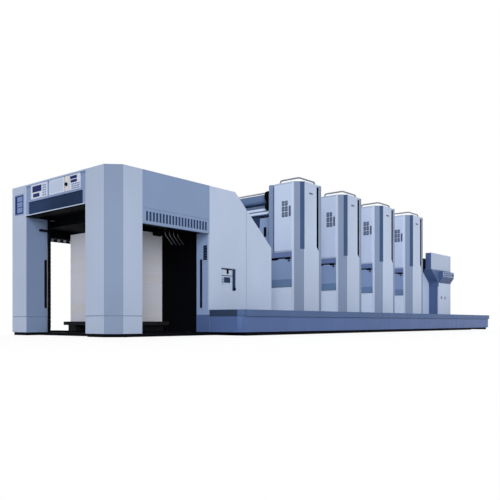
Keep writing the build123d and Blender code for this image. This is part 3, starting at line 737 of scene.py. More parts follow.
@dataclass
class DeliveryFront(Assembly):
    """Front pillars and the control beam between them."""

    coats: tuple[Coat, ...] = (
        # The pillars take the darker copy of the cover enamel: painted shade.
        ("front_pillar_operator_side", COVER_SHADED, 0.003),
        ("front_pillar_drive_side", COVER_SHADED, 0.003),
        ("pillar_display", BEAM, SHARP),
        ("control_beam", BEAM, SHARP),
        ("control_plates", CONTROL, 0.002),
        ("beam_visor", VISOR_AND_SHADE, SHARP),
    )
    trim_rim: Rim = Rim(0.00075, 0.0005)
    chamfer: float = 0.145
    chamfer_margin: float = 0.002
    kick_seam: Pair = (0.220, 0.225)
    back_chamfer: float = 0.120
    inner_margin: float = 0.004
    beam_gap: float = 0.002
    lip: Pair = (0.009, 0.020)
    cap: float = 0.013
    visor_end: float = 0.048
    visor_rim: Rim = Rim(0.0015, 0.00075, 2)
    plate_shares: tuple[Pair, ...] = ((0.082, 0.252), (0.262, 0.320), (0.335, 0.587), (0.623, 0.910))
    plate_levels: Pair = (1.600, 1.765)
    window_shares: tuple[Place, ...] = (
        (3, (0.10, 0.66), (0.10, 0.54)),
        (3, (0.14, 0.54), (0.64, 0.90)),
        (0, (0.10, 0.72), (0.08, 0.28)),
        (0, (0.14, 0.72), (0.34, 0.52)),
    )
    window_proud: float = 0.002
    window_rim: Rim = Rim(0.004, 0.001, 2)
    screen_share: Place = (2, (0.06, 0.94), (0.08, 0.88))
    screen_rim: Rim = Rim(0.006, 0.001, 2)
    strip_share: Place = (1, (0.05, 0.95), (0.02, 0.98))
    knob_share: Place = (1, (0.0, 1.0), (0.3, 0.8))
    knob: Turning = Turning((0.012, 0.017, 0.017, 0.021), (-0.020, -0.018, -0.006, 0.0), 28)
    key_shares: tuple[Place, ...] = ((3, (0.74, 0.95), (0.14, 0.90)), (0, (0.24, 0.96), (0.60, 0.94)))
    key_grids: tuple[Grid, ...] = ((2, 5, 0.014), (5, 3, 0.010))
    key_proud: float = 0.004
    key_rim: Rim = Rim(0.003, 0.001)
    display_margin: float = 0.014
    field_margins: Pair = (0.012, 0.016)
    field_share: float = 0.72
    field_grid: Grid = (1, 3, 0.008)
    field_proud: float = 0.003
    field_rim: Rim = Rim(0.003, 0.0008)
    bar_run: Pair = (0.168, 0.276)
    bar_levels: Pair = (1.258, 1.282)
    bar_width: float = 0.03
    bar_rim: Rim = Rim(0.004, 0.002, 2)

    def build(self) -> None:
        """Dress the pillars, the beam and its plates, and add what is fitted to them."""
        self.pillar = Span.of("front_pillar_operator_side")
        self.beam = Span.of("control_beam")
        self.front = self.pillar.low[0]
        self.proud = (self.front - self.window_proud, self.front + self.window_proud)
        self.dress_all(self.coats)
        self.add_chamfer_shades()
        self.add_inner_trims()
        self.add_beam_trims()
        self.add_control_windows()
        self.add_keys()
        self.add_display()
        self.add_pillar_bars()

    def add_chamfer_shades(self) -> None:
        """Cover the front chamfer of each pillar, above and below its kick seam, with darker plates of
        painted shade.
        """
        margin = self.chamfer_margin
        left = (self.front + margin, self.pillar.low[1] + self.chamfer - margin)
        right = (self.front + self.chamfer - margin, self.pillar.low[1] + margin)
        below = (self.pillar.low[2], self.kick_seam[0])
        above = (self.kick_seam[1], self.pillar.high[2])
        outlines = np.stack([strip_up(left, right, levels) for levels in (below, above)])
        # Darker chamfer plates: painted shade of the chamfer.
        self.add("pillar_chamfer_shades", plate(outlines, TRIM).both_sides(), PAINTED_SHADE_AND_TRIM)

    def add_inner_trims(self) -> None:
        """Face the pillars' inner sides with a darker sheet, painted shade of the bay, and line their
        shoulders with black.
        """
        inner, back = self.pillar.high[1], self.pillar.high[0] - self.back_chamfer
        start, end = (back - self.inner_margin, inner), (self.front + self.inner_margin, inner)
        below = (self.pillar.low[2], self.kick_seam[0])
        above = (self.kick_seam[1], self.beam.low[2] - self.beam_gap)
        outlines = np.stack([strip_up(start, end, levels) for levels in (below, above)])
        # Darker inner sheet: painted shade of the bay.
        self.add("pillar_inner_shades", plate(outlines, TRIM).both_sides(), INNER_SHADE_AND_PANEL)
        shoulder = strip_up((self.pillar.high[0], inner), (self.beam.high[0], inner),
                            (self.beam.low[2], self.pillar.high[2]))
        self.add("pillar_back_linings", plate(shoulder, TRIM).both_sides(), BLACK_AND_SHADE)

    def add_beam_trims(self) -> None:
        """Fit the beam's light lip and cap, the frames at the visor's ends, and the black lower edge and
        underside, painted shade of the opening under the lip.
        """
        low, high = self.beam.low, self.beam.high
        planes = (self.front - TRIM.thickness, self.front + TRIM.thickness)
        ends = np.array([[low[1], low[2] + self.lip[0]], [low[1], high[2] - self.cap]])
        tops = np.array([[high[1], low[2] + self.lip[1]], [high[1], high[2]]])
        self.add("beam_trims", panels(Along.X, planes, ends, tops, self.trim_rim, Along.Y), COVER)
        visor = Span.of("beam_visor")
        corner = (visor.low[1] + self.visor_end, visor.high[2])
        depth = (self.front, visor.low[0] + TRIM.thickness)
        frames = panels(Along.X, depth, visor.low[1:], corner, self.visor_rim, Along.Z)
        self.add("visor_ends", frames.both_sides(), BEAM)
        # Black lower edge and underside: painted shade.
        edge = panels(Along.X, planes, low[1:], (high[1], low[2] + self.lip[0]), self.trim_rim, Along.Y)
        corners = ((self.front, high[1]), (high[0], high[1]), (high[0], low[1]), (self.front, low[1]))
        under = plate(np.array([(x, y, low[2]) for x, y in corners]), LINING)
        self.add("beam_under_shade", Shell.joined([edge, under]), BLACK_AND_SHADE)

    def on_plate(self, place: Place) -> tuple[Array, Array]:
        """Place a rectangle on a control plate.

        Args:
            place: The plate's number from the operator side, then the rectangle's sides as shares of the
                plate's width, from the left as the operator sees it, and of its height, from the top.

        Returns:
            Lowest and highest (y, z) corners.
        """
        number, across, up = place
        start, end = (self.beam.low[1] + share * (self.beam.high[1] - self.beam.low[1])
                      for share in self.plate_shares[number])
        bottom, top = self.plate_levels
        low = (end - across[1] * (end - start), top - up[1] * (top - bottom))
        high = (end - across[0] * (end - start), top - up[0] * (top - bottom))
        return np.array(low), np.array(high)

    def add_control_windows(self) -> None:
        """Fit dark windows to the two outer plates, a light screen between and a strip with a knob."""
        lows, highs = (np.array(corners) for corners in zip(*map(self.on_plate, self.window_shares)))
        self.add("control_windows", panels(Along.X, self.proud, lows, highs, self.window_rim), SCREEN)
        screen = panels(Along.X, self.proud, *self.on_plate(self.screen_share), self.screen_rim)
        self.add("control_screen", screen, COVER)
        strip = panels(Along.X, self.proud, *self.on_plate(self.strip_share), self.window_rim)
        self.add("control_strip", strip, IVORY)
        low, high = self.on_plate(self.knob_share)
        centre = (self.proud[0], *((low + high) / 2))
        self.add("control_knob", turned(centre, Along.X, self.knob), BLACK_AND_SHADE)

    def add_keys(self) -> None:
        """Set rows of keys beside and below the windows."""
        planes = (self.front - self.key_proud, self.proud[1])
        blocks = [cells(*self.on_plate(place), *grid) for place, grid in zip(self.key_shares, self.key_grids)]
        lows, highs = (np.concatenate(corners) for corners in zip(*blocks))
        self.add("control_keys", panels(Along.X, planes, lows, highs, self.key_rim), FIELD)

    def add_display(self) -> None:
        """Fit the pillar's display: a dark screen with plain light fields down one side."""
        span = Span.of("pillar_display")
        low, high = span.low[1:] + self.display_margin, span.high[1:] - self.display_margin
        self.add("display_screen", panels(Along.X, self.proud, low, high, self.screen_rim), SCREEN)
        end = (low[0] + self.field_share * (high[0] - low[0]), high[1] - self.field_margins[1])
        lows, highs = cells(low + self.field_margins, end, *self.field_grid)
        planes = (self.front - self.field_proud, self.front)
        self.add("display_fields", panels(Along.X, planes, lows, highs, self.field_rim), FIELD)

    def add_pillar_bars(self) -> None:
        """Fix the short black bar to the inner face of each pillar, under the beam."""
        inner = self.pillar.high[1]
        low, high = zip(np.add(self.front, self.bar_run), (inner, inner + self.bar_width), self.bar_levels)
        self.add("pillar_bars", slabs(low, high, Along.X, self.bar_rim).both_sides(), BLACK_AND_SHADE)


@dataclass
class DeliveryBay(Assembly):
    """Bay with the paper pile, and the fascias and rear pillars round it."""

    coats: tuple[Coat, ...] = (
        ("side_fascia_operator_side", FASCIA, 0.0015),
        ("side_fascia_drive_side", FASCIA, 0.0015),
        ("rear_pillars", GUARD, 0.003),
        ("delivery_head", BLACK_AND_SHADE, SHARP),
        ("floor_frame", BLACK_AND_SHADE, SHARP),
        ("hoist_posts", BLACK_AND_SHADE, SHARP),
        ("light_curtains", BLACK_AND_SHADE, SHARP),
        ("sheet_joggers", BLACK_AND_SHADE, SHARP),
        ("pallet", BOARD, 0.003),
    )
    louvre_levels: Pair = (1.250, 1.346)
    louvre_count: int = 20
    louvre_width: float = 0.022
    louvre_margin: float = 0.040
    louvre_lap: float = 0.003
    louvre_planes: Pair = (-0.001, 0.012)
    louvre_rim: Rim = Rim(0.003, 0.0007, 2)
    layers: int = 150
    layer_slack: float = 0.0016
    layer_seed: int = 7
    curtain_depths: Pair = (0.123, 0.153)
    curtain_levels: Pair = (0.345, 0.900)
    curtain_stand: float = 0.008
    lens_count: int = 16
    lens: Turning = Turning((0.006, 0.008, 0.008, 0.006), (-0.002, -0.001, 0.001, 0.002), 12)
    grille_depths: Pair = (0.044, 0.106)
    grille_bottom: float = 0.905
    grille_pitch: float = 0.032
    grille_slot: float = 0.016
    grille_gap: float = 0.0006
    grille_count: int = 6
    shade_planes: Pair = (0.003, 0.012)
    rib_planes: Pair = (-0.0015, 0.001)
    link_pitch: float = 0.026
    link_ends: Pair = (0.05, 0.02)
    link_place: Pair = (0.012, 0.034)
    link_halves: Pair = (0.004, 0.009)
    link_share: float = 0.62
    link_rim: Rim = Rim(0.003, 0.002)
    finger_start: float = 0.03
    finger_pitch: float = 0.070
    finger_count: int = 4
    finger_stand: float = 0.02
    finger_root: float = 0.095
    finger_slant: Pair = (0.120, 0.115)
    finger_bend: float = 0.03
    finger_bend_steps: int = 4
    finger_radius: float = 0.004
    finger_sides: int = 8
    clip_start: float = 0.08
    clip_depth: float = 0.150
    clip_count: int = 9
    clip_half: Triple = (0.014, 0.008, 0.016)
    clip_rim: Rim = Rim(0.004, 0.002, 2)
    rod_overhang: float = 0.04
    rod_drop: float = 0.036
    rod_radius: float = 0.006
    rod_sides: int = 10

    def build(self) -> None:
        """Dress the bay and add the sheets, lenses, chains and guide rods."""
        self.plane = Span.of("side_cover_operator_side").low[1]
        self.dress_all(self.coats)
        self.add_louvres()
        self.add_pile()
        self.add_lenses()
        self.add_grilles()
        self.add_chains()
        self.add_fingers()
        self.add_clips()

    def add_louvres(self) -> None:
        """Cover each slot of the fascias with a dark plate, painted shade of the slot, and close the fascias
        inside with black.
        """
        span = Span.of("side_fascia_operator_side")
        (x0, y0, bottom), (x1, y1, top) = span.low, span.high
        pitch = (x1 - x0 - 2 * self.louvre_margin) / self.louvre_count
        first = x0 + self.louvre_margin + (pitch - self.louvre_width) / 2
        x = first + np.arange(self.louvre_count) * pitch
        sill, head = self.louvre_levels
        low = np.stack([x, np.full_like(x, sill)], -1) - self.louvre_lap
        high = np.stack([x + self.louvre_width, np.full_like(x, head)], -1) + self.louvre_lap
        # Dark plates over the slots: painted shade.
        shades = panels(Along.Y, np.add(y0, self.louvre_planes), low, high, self.louvre_rim)
        self.add("louvre_painted_shades", shades.both_sides(), VISOR_AND_SHADE)
        inside = strip_up((x1, y1), (x0, y1), (bottom, top))
        self.add("fascia_linings", plate(inside, LINING).both_sides(), BLACK_AND_SHADE)

    def add_pile(self) -> None:
        """Stack the pile in layers.

        Layer k is a flat block between two levels, drawn in by a small slack of its own on each side, so the
        surface steps from layer to layer as knocked-up sheets do.
        """
        span = Span.of("paper_pile")
        draw = np.random.default_rng(self.layer_seed).uniform(0.0, self.layer_slack, (self.layers, 4))
        level = np.repeat(np.linspace(span.low[2], span.high[2], self.layers + 1), 2)[1:-1]
        x0, y0 = np.repeat(span.low[:2] + draw[:, :2], 2, axis=0).T
        x1, y1 = np.repeat(span.high[:2] - draw[:, 2:], 2, axis=0).T
        corners = ((x0, y0), (x1, y0), (x1, y1), (x0, y1))
        rings = np.stack([np.stack([x, y, level], -1) for x, y in corners], 1)
        pile = self.add("paper_sheets", loft(rings[None]), PAPER, shading=Shading.FLAT)
        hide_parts("paper_pile")

    def add_lenses(self) -> None:
        """Set a row of small lenses in each light-curtain strip of the rear pillars and the front pillars."""
        rear = Span.of("rear_pillars").low[0] - self.curtain_stand
        front = Span.of("front_pillar_operator_side").high[0] + self.curtain_stand
        y = self.plane + sum(self.curtain_depths) / 2
        centres = lattice((rear, front), y, np.linspace(*self.curtain_levels, self.lens_count))
        self.add("curtain_lenses", turned(centres, Along.X, self.lens).both_sides(), SCREEN)

    def add_grilles(self) -> None:
        """Back the grille slots of the rear pillars with black, painted shade of the slots, and face their
        ribs with dark strips.
        """
        face = Span.of("rear_pillars").low[0]
        z = self.grille_bottom + np.arange(self.grille_count) * self.grille_pitch
        near, far = np.add(self.plane, self.grille_depths)
        low = np.stack([np.full_like(z, near), z + self.grille_gap], -1)
        high = np.stack([np.full_like(z, far), z + self.grille_slot - self.grille_gap], -1)
        # Black slot backs: painted shade.
        shades = panels(Along.X, np.add(face, self.shade_planes), low, high, THIN, Along.Y)
        self.add("grille_slot_shades", shades.both_sides(), BLACK_AND_SHADE)
        low = low[:-1] + (0.0, self.grille_slot)
        high = high[:-1] + (0.0, self.grille_pitch - self.grille_slot)
        ribs = panels(Along.X, np.add(face, self.rib_planes), low, high, THIN, Along.Y)
        self.add("grille_ribs", ribs.both_sides(), VISOR_AND_SHADE)

    def add_chains(self) -> None:
        """Hang a chain of flat links beside each hoist post, alternate links turned across."""
        post = Span.of("hoist_posts")
        z = np.arange(post.low[2] + self.link_ends[0], post.high[2] - self.link_ends[1], self.link_pitch)
        middle = lattice(post.low[0] + self.link_place[0], post.low[1] + self.link_place[1], z)
        odd = np.arange(len(z)) % 2
        narrow, wide = self.link_halves
        along, across = np.where(odd, wide, narrow), np.where(odd, narrow, wide)
        half = np.stack([along, across, np.full_like(z, self.link_share * self.link_pitch)], -1)
        chain = slabs(middle - half, middle + half, Along.Z, self.link_rim)
        self.add("hoist_chains", chain.both_sides(), BLACK_AND_SHADE)

    def add_fingers(self) -> None:
        """Hang slanted sheet fingers behind the pile."""
        pile = Span.of("paper_pile")
        head = Span.of("delivery_head").low[2]
        x = pile.high[0] + self.finger_start + np.arange(self.finger_count) * self.finger_pitch
        y = pile.low[1] - self.finger_stand
        along, drop = self.finger_slant
        corners = [[(a, y, head + self.finger_root), (a, y, head), (a + along, y, head - drop)] for a in x]
        paths = [bent_path(path, self.finger_bend, self.finger_bend_steps) for path in corners]
        fingers = [tube(path, self.finger_radius, self.finger_sides) for path in paths]
        self.add("sheet_fingers", Shell.joined(fingers).both_sides(), STEEL)

    def add_clips(self) -> None:
        """Hang a row of clips under the far head rail, over a rod."""
        pile = Span.of("paper_pile")
        head = Span.of("delivery_head").low[2]
        x = np.linspace(pile.low[0] - self.clip_start, pile.high[0], self.clip_count)
        y = self.plane + self.clip_depth
        middle = lattice(x, y, head - self.clip_half[2])
        clips = slabs(middle - self.clip_half, middle + self.clip_half, Along.Y, self.clip_rim)
        self.add("gripper_clips", clips.mirrored(), PALE)
        path = lattice((x[0] - self.rod_overhang, x[-1] + self.rod_overhang), y, head - self.rod_drop)
        self.add("gripper_rods", tube(path, self.rod_radius, self.rod_sides).mirrored(), BLACK_AND_SHADE)


@dataclass
class Incline(Assembly):
    """Covers over the chain incline, with the operating hatch on the operator side."""

    coats: tuple[Coat, ...] = (
        ("side_cover_operator_side", COVER, 0.006),
        ("side_cover_drive_side", COVER, 0.006),
        ("delivery_roof", COVER, 0.004),
        ("incline_housing", BLACK_AND_SHADE, SHARP),
        ("hatch_controls", VISOR_AND_SHADE, 0.002),
    )
    hatch_left: float = 0.215
    hatch_width: float = 0.263
    hatch_bottom: float = 0.546
    hatch_recess: float = 0.018
    # Left, bottom, right and top of each rectangle, from the hatch's lower left corner
    mark_places: tuple[Rectangle, ...] = (
        # The first rectangle, the black bar along the top, is painted shade under the recess's top edge.
        (0.004, 0.260, 0.205, 0.271),
        (0.108, 0.210, 0.142, 0.262),
        (0.004, 0.182, 0.215, 0.190),
        (0.010, 0.150, 0.048, 0.156),
        (0.010, 0.130, 0.048, 0.136),
        (0.010, 0.110, 0.048, 0.116),
        (0.010, 0.090, 0.048, 0.096),
    )
    mark_proud: float = 0.006
    mark_rim: Rim = Rim(0.002, 0.001)
    screen_places: tuple[Rectangle, ...] = ((0.072, 0.106, 0.158, 0.160),)
    screen_proud: float = 0.0075
    screen_rim: Rim = Rim(0.004, 0.001, 2)
    border_places: tuple[Rectangle, ...] = ((0.050, 0.168, 0.180, 0.176), (0.050, 0.088, 0.180, 0.096))
    border_proud: float = 0.008
    border_rim: Rim = Rim(0.002, 0.001, 2)
    knob_inset: float = 0.026
    knob_proud: float = 0.012
    knob_level: float = 0.028
    knob: Turning = Turning((0.010, 0.016, 0.018, 0.012), (-0.018, -0.015, -0.005, 0.0), 24)
    stud_margin: float = 0.05
    stud_start: float = 0.45
    stud_columns: int = 5
    stud_rows: int = 3
    stud: Turning = Turning((0.00675, 0.009, 0.009), (-0.002, -0.001, 0.002), 16)
    seam_setback: float = 0.45
    seam_margin: float = 0.01
    seam_width: float = 0.004
    seam_planes: Pair = (-0.001, 0.0006)
    end_count: int = 3
    end_gap: float = 0.006
    end_proud: float = 0.004
    end_rim: Rim = Rim(0.009, 0.001, 3)
    end_stud: Turning = Turning((0.009, 0.009, 0.00675), (-0.002, 0.001, 0.002), 16)

    def build(self) -> None:
        """Dress the covers and add the hatch's fittings, the studs, the roof's seams and the end panels."""
        self.cover = Span.of("side_cover_operator_side")
        self.dress_all(self.coats)
        self.add_hatch()
        self.add_studs()
        self.add_roof_seams()
        self.add_end_panels()

    def add_hatch(self) -> None:
        """Fit the hatch: a light frame with a screen, a black bar of painted shade along its top with a stem
        under it, key marks and a lever knob.
        """
        left, bottom = self.cover.low[0] + self.hatch_left, self.hatch_bottom
        back = self.cover.low[1] + self.hatch_recess
        for name, places, proud, rim, along, finish in (
            ("hatch_marks", self.mark_places, self.mark_proud, self.mark_rim, Along.Y, BLACK_AND_SHADE),
            ("hatch_screen", self.screen_places, self.screen_proud, self.screen_rim, Along.Y, VISOR_AND_SHADE),
            ("hatch_rims", self.border_places, self.border_proud, self.border_rim, Along.X, PALE),
        ):
            sides = np.array(places) + (left, bottom, left, bottom)
            shell = panels(Along.Y, (back - proud, back), sides[:, :2], sides[:, 2:], rim, along)
            self.add(name, shell, finish)
        centre = (left + self.hatch_width - self.knob_inset, back - self.knob_proud, bottom + self.knob_level)
        self.add("hatch_knob", turned(centre, Along.Y, self.knob), BLACK_AND_SHADE)

    def add_studs(self) -> None:
        """Press cover studs into the lower and outer edges of both side covers."""
        low, high, margin = self.cover.low, self.cover.high, self.stud_margin
        x = np.linspace(low[0] + margin, high[0] - margin, self.stud_columns)
        z = np.linspace(low[2] + self.stud_start, high[2] - margin, self.stud_rows)
        centres = np.concatenate([lattice(x, low[1], low[2] + margin), lattice(low[0] + margin, low[1], z)])
        self.add("cover_studs", turned(centres, Along.Y, self.stud).both_sides(), COVER)

    def add_roof_seams(self) -> None:
        """Mark the joints between the roof's sheets with narrow strips across it."""
        roof = Span.of("delivery_roof")
        x = np.array([roof.low[0] + self.seam_setback, self.cover.low[0]])
        low = np.stack([x, np.full_like(x, roof.low[1] + self.seam_margin)], -1)
        high = np.stack([x + self.seam_width, np.full_like(x, roof.high[1] - self.seam_margin)], -1)
        seams = panels(Along.Z, np.add(roof.high[2], self.seam_planes), low, high, SEAM, Along.Y)
        self.add("roof_seams", seams, PAINTED_SHADE_AND_TRIM)

    def add_end_panels(self) -> None:
        """Close the housing's end towards the units with flat panels, screwed at their corners."""
        housing = Span.of("incline_housing")
        x, gap = housing.high[0], self.end_gap
        start = (housing.low[1] + gap, self.cover.low[2] + gap)
        end = (housing.high[1] - gap, Span.of("delivery_roof").low[2] - gap)
        low, high = cells(start, end, self.end_count, 1, gap)
        planes = (x, x + self.end_proud)
        self.add("incline_end_panels", panels(Along.X, planes, low, high, self.end_rim), INNER_SHADE_AND_PANEL)
        near, far = low + self.stud_margin, high - self.stud_margin
        centres = lattice(planes[1], [*near[:, 0], *far[:, 0]], (near[0, 1], far[0, 1]))
        self.add("end_panel_studs", turned(centres, Along.X, self.end_stud), INNER_SHADE_AND_PANEL)


@dataclass
class PrintingUnit(Assembly):
    """One printing unit: housings, inker, swinging guard and what is fitted to them."""

    number: int
    coats: tuple[Coat, ...] = (
        ("operator_housing", COVER, 0.005),
        ("drive_housing", COVER, 0.005),
        ("inker", GUARD, 0.004),
        ("guard", GUARD, 0.0015),
    )
    margin: float = 0.006
    seam: float = 0.003
    chamfer: float = 0.116
    edge_strip: float = 0.033
    insert_share: float = 0.6
    insert_bottom: float = 1.216
    insert_gap: float = 0.002
    insert_top_gap: float = 0.004
    slot_run: Pair = (0.427, 0.481)
    slot_gap: float = 0.004
    slot_setback: float = 0.003
    slot_depth: float = 0.060
    slot_bottom: float = 1.212
    slot_slant: float = 0.060
    slot_top_margin: float = 0.031
    panel_proud: float = 0.010
    tile_depths: Pair = (0.214, 0.318)
    tile_levels: Pair = (1.690, 1.925)
    tile_grid: Grid = (2, 3, 0.010)
    tile_proud: float = 0.003
    tile_rim: Rim = Rim(0.006, 0.001, 2)
    tile_border: Pair = (0.012, 0.020)
    tile_face_planes: Pair = (-0.004, -0.002)
    tile_face_rim: Rim = Rim(0.004, 0.0006)
    grip_depths: Pair = (0.158, 0.184)
    grip_levels: Pair = (1.695, 1.846)
    grip_proud: float = 0.014
    grip_rim: Rim = Rim(0.010, 0.004, 3)
    latch_run: Pair = (0.226, 0.313)
    latch_levels: Pair = (2.030, 2.050)
    latch_proud: float = 0.008
    latch_rim: Rim = Rim(0.005, 0.002, 2)
    guard_inset: float = 0.149
    guard_gap: float = 0.004
    fold_levels: Pair = (0.677, 0.781)
    fold_depth: float = 0.032
    fold_sheet: Sheet = Sheet(0.0015, 0.0007)
    hinge_inset: float = 0.013
    hinge_level: float = 1.088
    hinge_shade_radius: float = 0.0135
    hinge_shade_inset: float = 0.030
    hinge_shade_sides: int = 20
    knob_inset: float = 0.035
    knob_level: float = 1.052
    knob: Turning = Turning((0.009, 0.013, 0.013, 0.008), (-0.022, -0.019, -0.008, 0.0), 20)
    front_end: float = 0.568
    foot_light_gaps: Pair = (0.002, 0.012)
    inner_depth: float = 0.570
    # Setback, level, root radius, tooth height and number of teeth of each gear
    gears: tuple[Gear, ...] = ((0.078, 2.045, 0.078, 0.010, 30), (0.060, 1.900, 0.050, 0.009, 20))
    gear_width: float = 0.085
    block_run: Pair = (0.030, 0.062)
    block_levels: Pair = (1.850, 2.090)
    block_width: float = 0.065
    block_rim: Rim = Rim(0.012, 0.003, 3)
    bar_inset: float = 0.060
    rod_gap: float = 0.004
    rod_lift: float = 0.010
    rod_radius: float = 0.012
    rod_sides: int = 16
    tie_strips: tuple[Pair, Pair] = ((1.792, 1.824), (1.844, 1.878))
    tie_sheet: Sheet = Sheet(0.002, 0.0007)
    window_half: float = 0.240
    window_levels: Pair = (1.600, 1.770)
    window_planes: Pair = (-0.002, 0.002)
    window_rim: Rim = Rim(0.012, 0.001, 3)
    cut_depths: Pair = (0.688, 0.740)
    cut_levels: Pair = (1.450, 1.600)
    back_margin: float = 0.040
    back_rows: int = 5
    back_stud: Turning = Turning((0.008, 0.008, 0.006), (-0.002, 0.001, 0.002), 14)

    def build(self) -> None:
        """Dress the unit's own nodes and add its trims and fittings."""
        self.name = f"unit_{self.number}"
        self.house = Span.of(f"{self.name}_operator_housing")
        self.face, self.plane, self.deck = self.house.low
        self.top = self.house.high[2]
        self.dress_all(self.coats, f"{self.name}_")
        self.add_trims()
        self.add_insert()
        self.add_slot_lining()
        self.add_front_fittings()
        self.add_guard_fittings()
        self.add_ink_drive()
        self.add_inker_fittings()
        self.add_back_studs()

    def add_own(self, part: str, shell: Shell, finish: Finish, body: str = PRESS) -> None:
        """Make a piece whose name starts with the unit's."""
        self.add(f"{self.name}_{part}", shell, finish, body)

    def depth(self, distance: float) -> float:
        """Y of a plane at a distance inwards from the operator-side covers."""
        return self.plane + distance

    def across(self, depths: Pair, levels: Pair) -> tuple[Pair, Pair]:
        """Lowest and highest (y, z) corners of a rectangle between two depths and two levels."""
        return (self.depth(depths[0]), levels[0]), (self.depth(depths[1]), levels[1])

    def on_chamfer(self, along: float) -> Pair:
        """Plan point on the front chamfer, at a distance from the front face."""
        return self.face + along, self.depth(self.chamfer - along)

    def add_trims(self) -> None:
        """Lay the pale strip on the front edge, darker plates of painted shade on the chamfer and the back,
        and a pale plate of painted light at the foot.
        """
        top = self.top - self.margin
        front = strip_up((self.face, self.depth(self.chamfer + self.edge_strip - self.seam)),
                         (self.face, self.depth(self.chamfer + self.margin)), (self.deck, top))
        self.add_own("edge_strips", plate(front, TRIM).both_sides(), PALE)
        start, end = self.on_chamfer(self.margin), self.on_chamfer(self.chamfer - self.margin)
        split = self.on_chamfer(self.insert_share * self.chamfer - self.seam)
        outlines = np.stack([
            strip_up(start, end, (self.deck, self.insert_bottom)),
            strip_up(start, split, (self.insert_bottom, top)),
        ])
        # Darker chamfer plates: painted shade of the chamfer.
        self.add_own("chamfer_shades", plate(outlines, TRIM).both_sides(), PAINTED_SHADE_AND_TRIM)
        # Pale foot plate: painted light over the shaded lower front of the housing.
        foot = strip_up((self.face, self.depth(self.front_end)), (self.face, self.depth(self.guard_inset)),
                        (self.deck + self.foot_light_gaps[0], self.fold_levels[0] - self.foot_light_gaps[1]))
        self.add_own("foot_light_panels", plate(foot, TRIM).both_sides(), FOOT_LIGHT)
        # Darker back strip: painted shade of the recessed rear band.
        back = strip_up((self.face + self.slot_run[1] + self.slot_gap, self.plane),
                        (self.house.high[0] - self.margin, self.plane), (self.deck, top))
        self.add_own("back_shade_strips", plate(back, TRIM).both_sides(), PAINTED_SHADE_AND_TRIM)

    def add_insert(self) -> None:
        """Close the groove of the chamfer with the dark strip."""
        start = self.on_chamfer(self.insert_share * self.chamfer - self.insert_gap)
        end = self.on_chamfer(self.chamfer - self.insert_gap)
        outline = strip_up(start, end, (self.insert_bottom, self.top - self.insert_top_gap))
        self.add_own("inserts", plate(outline, TRIM).both_sides(), INSERT)

    def add_slot_lining(self) -> None:
        """Line the upright slot in the side with black, painted shade of the slot: its back and both walls.
        """
        left, right = np.add(self.face, self.slot_run)
        top = self.top - self.slot_top_margin
        low_left, low_right = self.slot_bottom + self.slot_slant, self.slot_bottom
        near, far = self.depth(self.slot_setback), self.depth(self.slot_depth)
        outlines = np.array([
            [(left, far, low_left), (right, far, low_right), (right, far, top), (left, far, top)],
            [(right, far, low_right), (right, near, low_right), (right, near, top), (right, far, top)],
            [(left, near, low_left), (left, far, low_left), (left, far, top), (left, near, top)],
        ])
        # Black slot lining: painted shade.
        self.add_own("slot_shade_linings", plate(outlines, LINING).both_sides(), BLACK_AND_SHADE)

    def add_front_fittings(self) -> None:
        """Fit plain indicator tiles and a grip to the front panel, and a latch to the side."""
        panel = self.face - self.panel_proud
        low, high = cells(*self.across(self.tile_depths, self.tile_levels), *self.tile_grid)
        tiles = panels(Along.X, (panel - self.tile_proud, panel), low, high, self.tile_rim)
        faces = panels(Along.X, np.add(panel, self.tile_face_planes), low + self.tile_border,
                       high - self.tile_border, self.tile_face_rim)
        self.add_own("tile_faces", faces.both_sides(), PAINTED_SHADE_AND_TRIM)
        low, high = self.across(self.grip_depths, self.grip_levels)
        grip = panels(Along.X, (panel - self.grip_proud, panel), low, high, self.grip_rim)
        low, high = zip(np.add(self.face, self.latch_run), self.latch_levels)
        latch = panels(Along.Y, (self.plane - self.latch_proud, self.plane), low, high, self.latch_rim)
        self.add_own("fittings", Shell.joined([tiles, grip, latch]).both_sides(), KEY)

    def add_guard_fittings(self) -> None:
        """Face the guard's folded lower edge with painted shade, and give the guard a black sleeve over its
        hinge, painted shade of the hinge gap, and its knob. All swing with it.
        """
        body = f"guard_{self.number}"
        half = -self.depth(self.guard_inset) - self.guard_gap
        low, high = self.fold_levels
        front, back = self.face, self.face + self.fold_depth
        outline = np.array([(back, half, low), (back, -half, low), (front, -half, high), (front, half, high)])
        # Darker fold plate: painted shade of the downward-facing fold.
        self.add_own("guard_fold_shade", plate(outline, self.fold_sheet), FOLD_SHADE, body)
        # Black tube over the hinge knuckle: painted shade of the gap under the header.
        end = half - self.hinge_shade_inset
        path = lattice(self.face + self.hinge_inset, (-end, end), self.hinge_level)
        self.add_own("guard_hinge_shade", tube(path, self.hinge_shade_radius, self.hinge_shade_sides), BLACK_AND_SHADE, body)
        centre = (self.face, -half + self.knob_inset, self.knob_level)
        self.add_own("guard_knob", turned(centre, Along.X, self.knob), BLACK_AND_SHADE, body)

    def add_ink_drive(self) -> None:
        """Set the ink drive's gears and bearing block at the end of the fountain bar."""
        y = self.depth(self.inner_depth)
        wheels = [
            toothed((self.face + setback, y, level), radius, tooth, teeth, self.gear_width)
            for setback, level, radius, tooth, teeth in self.gears
        ]
        low, high = zip(np.add(self.face, self.block_run), (y, y + self.block_width), self.block_levels)
        block = slabs(low, high, Along.X, self.block_rim)
        self.add_own("ink_drive", Shell.joined([*wheels, block]), BLACK_AND_SHADE)

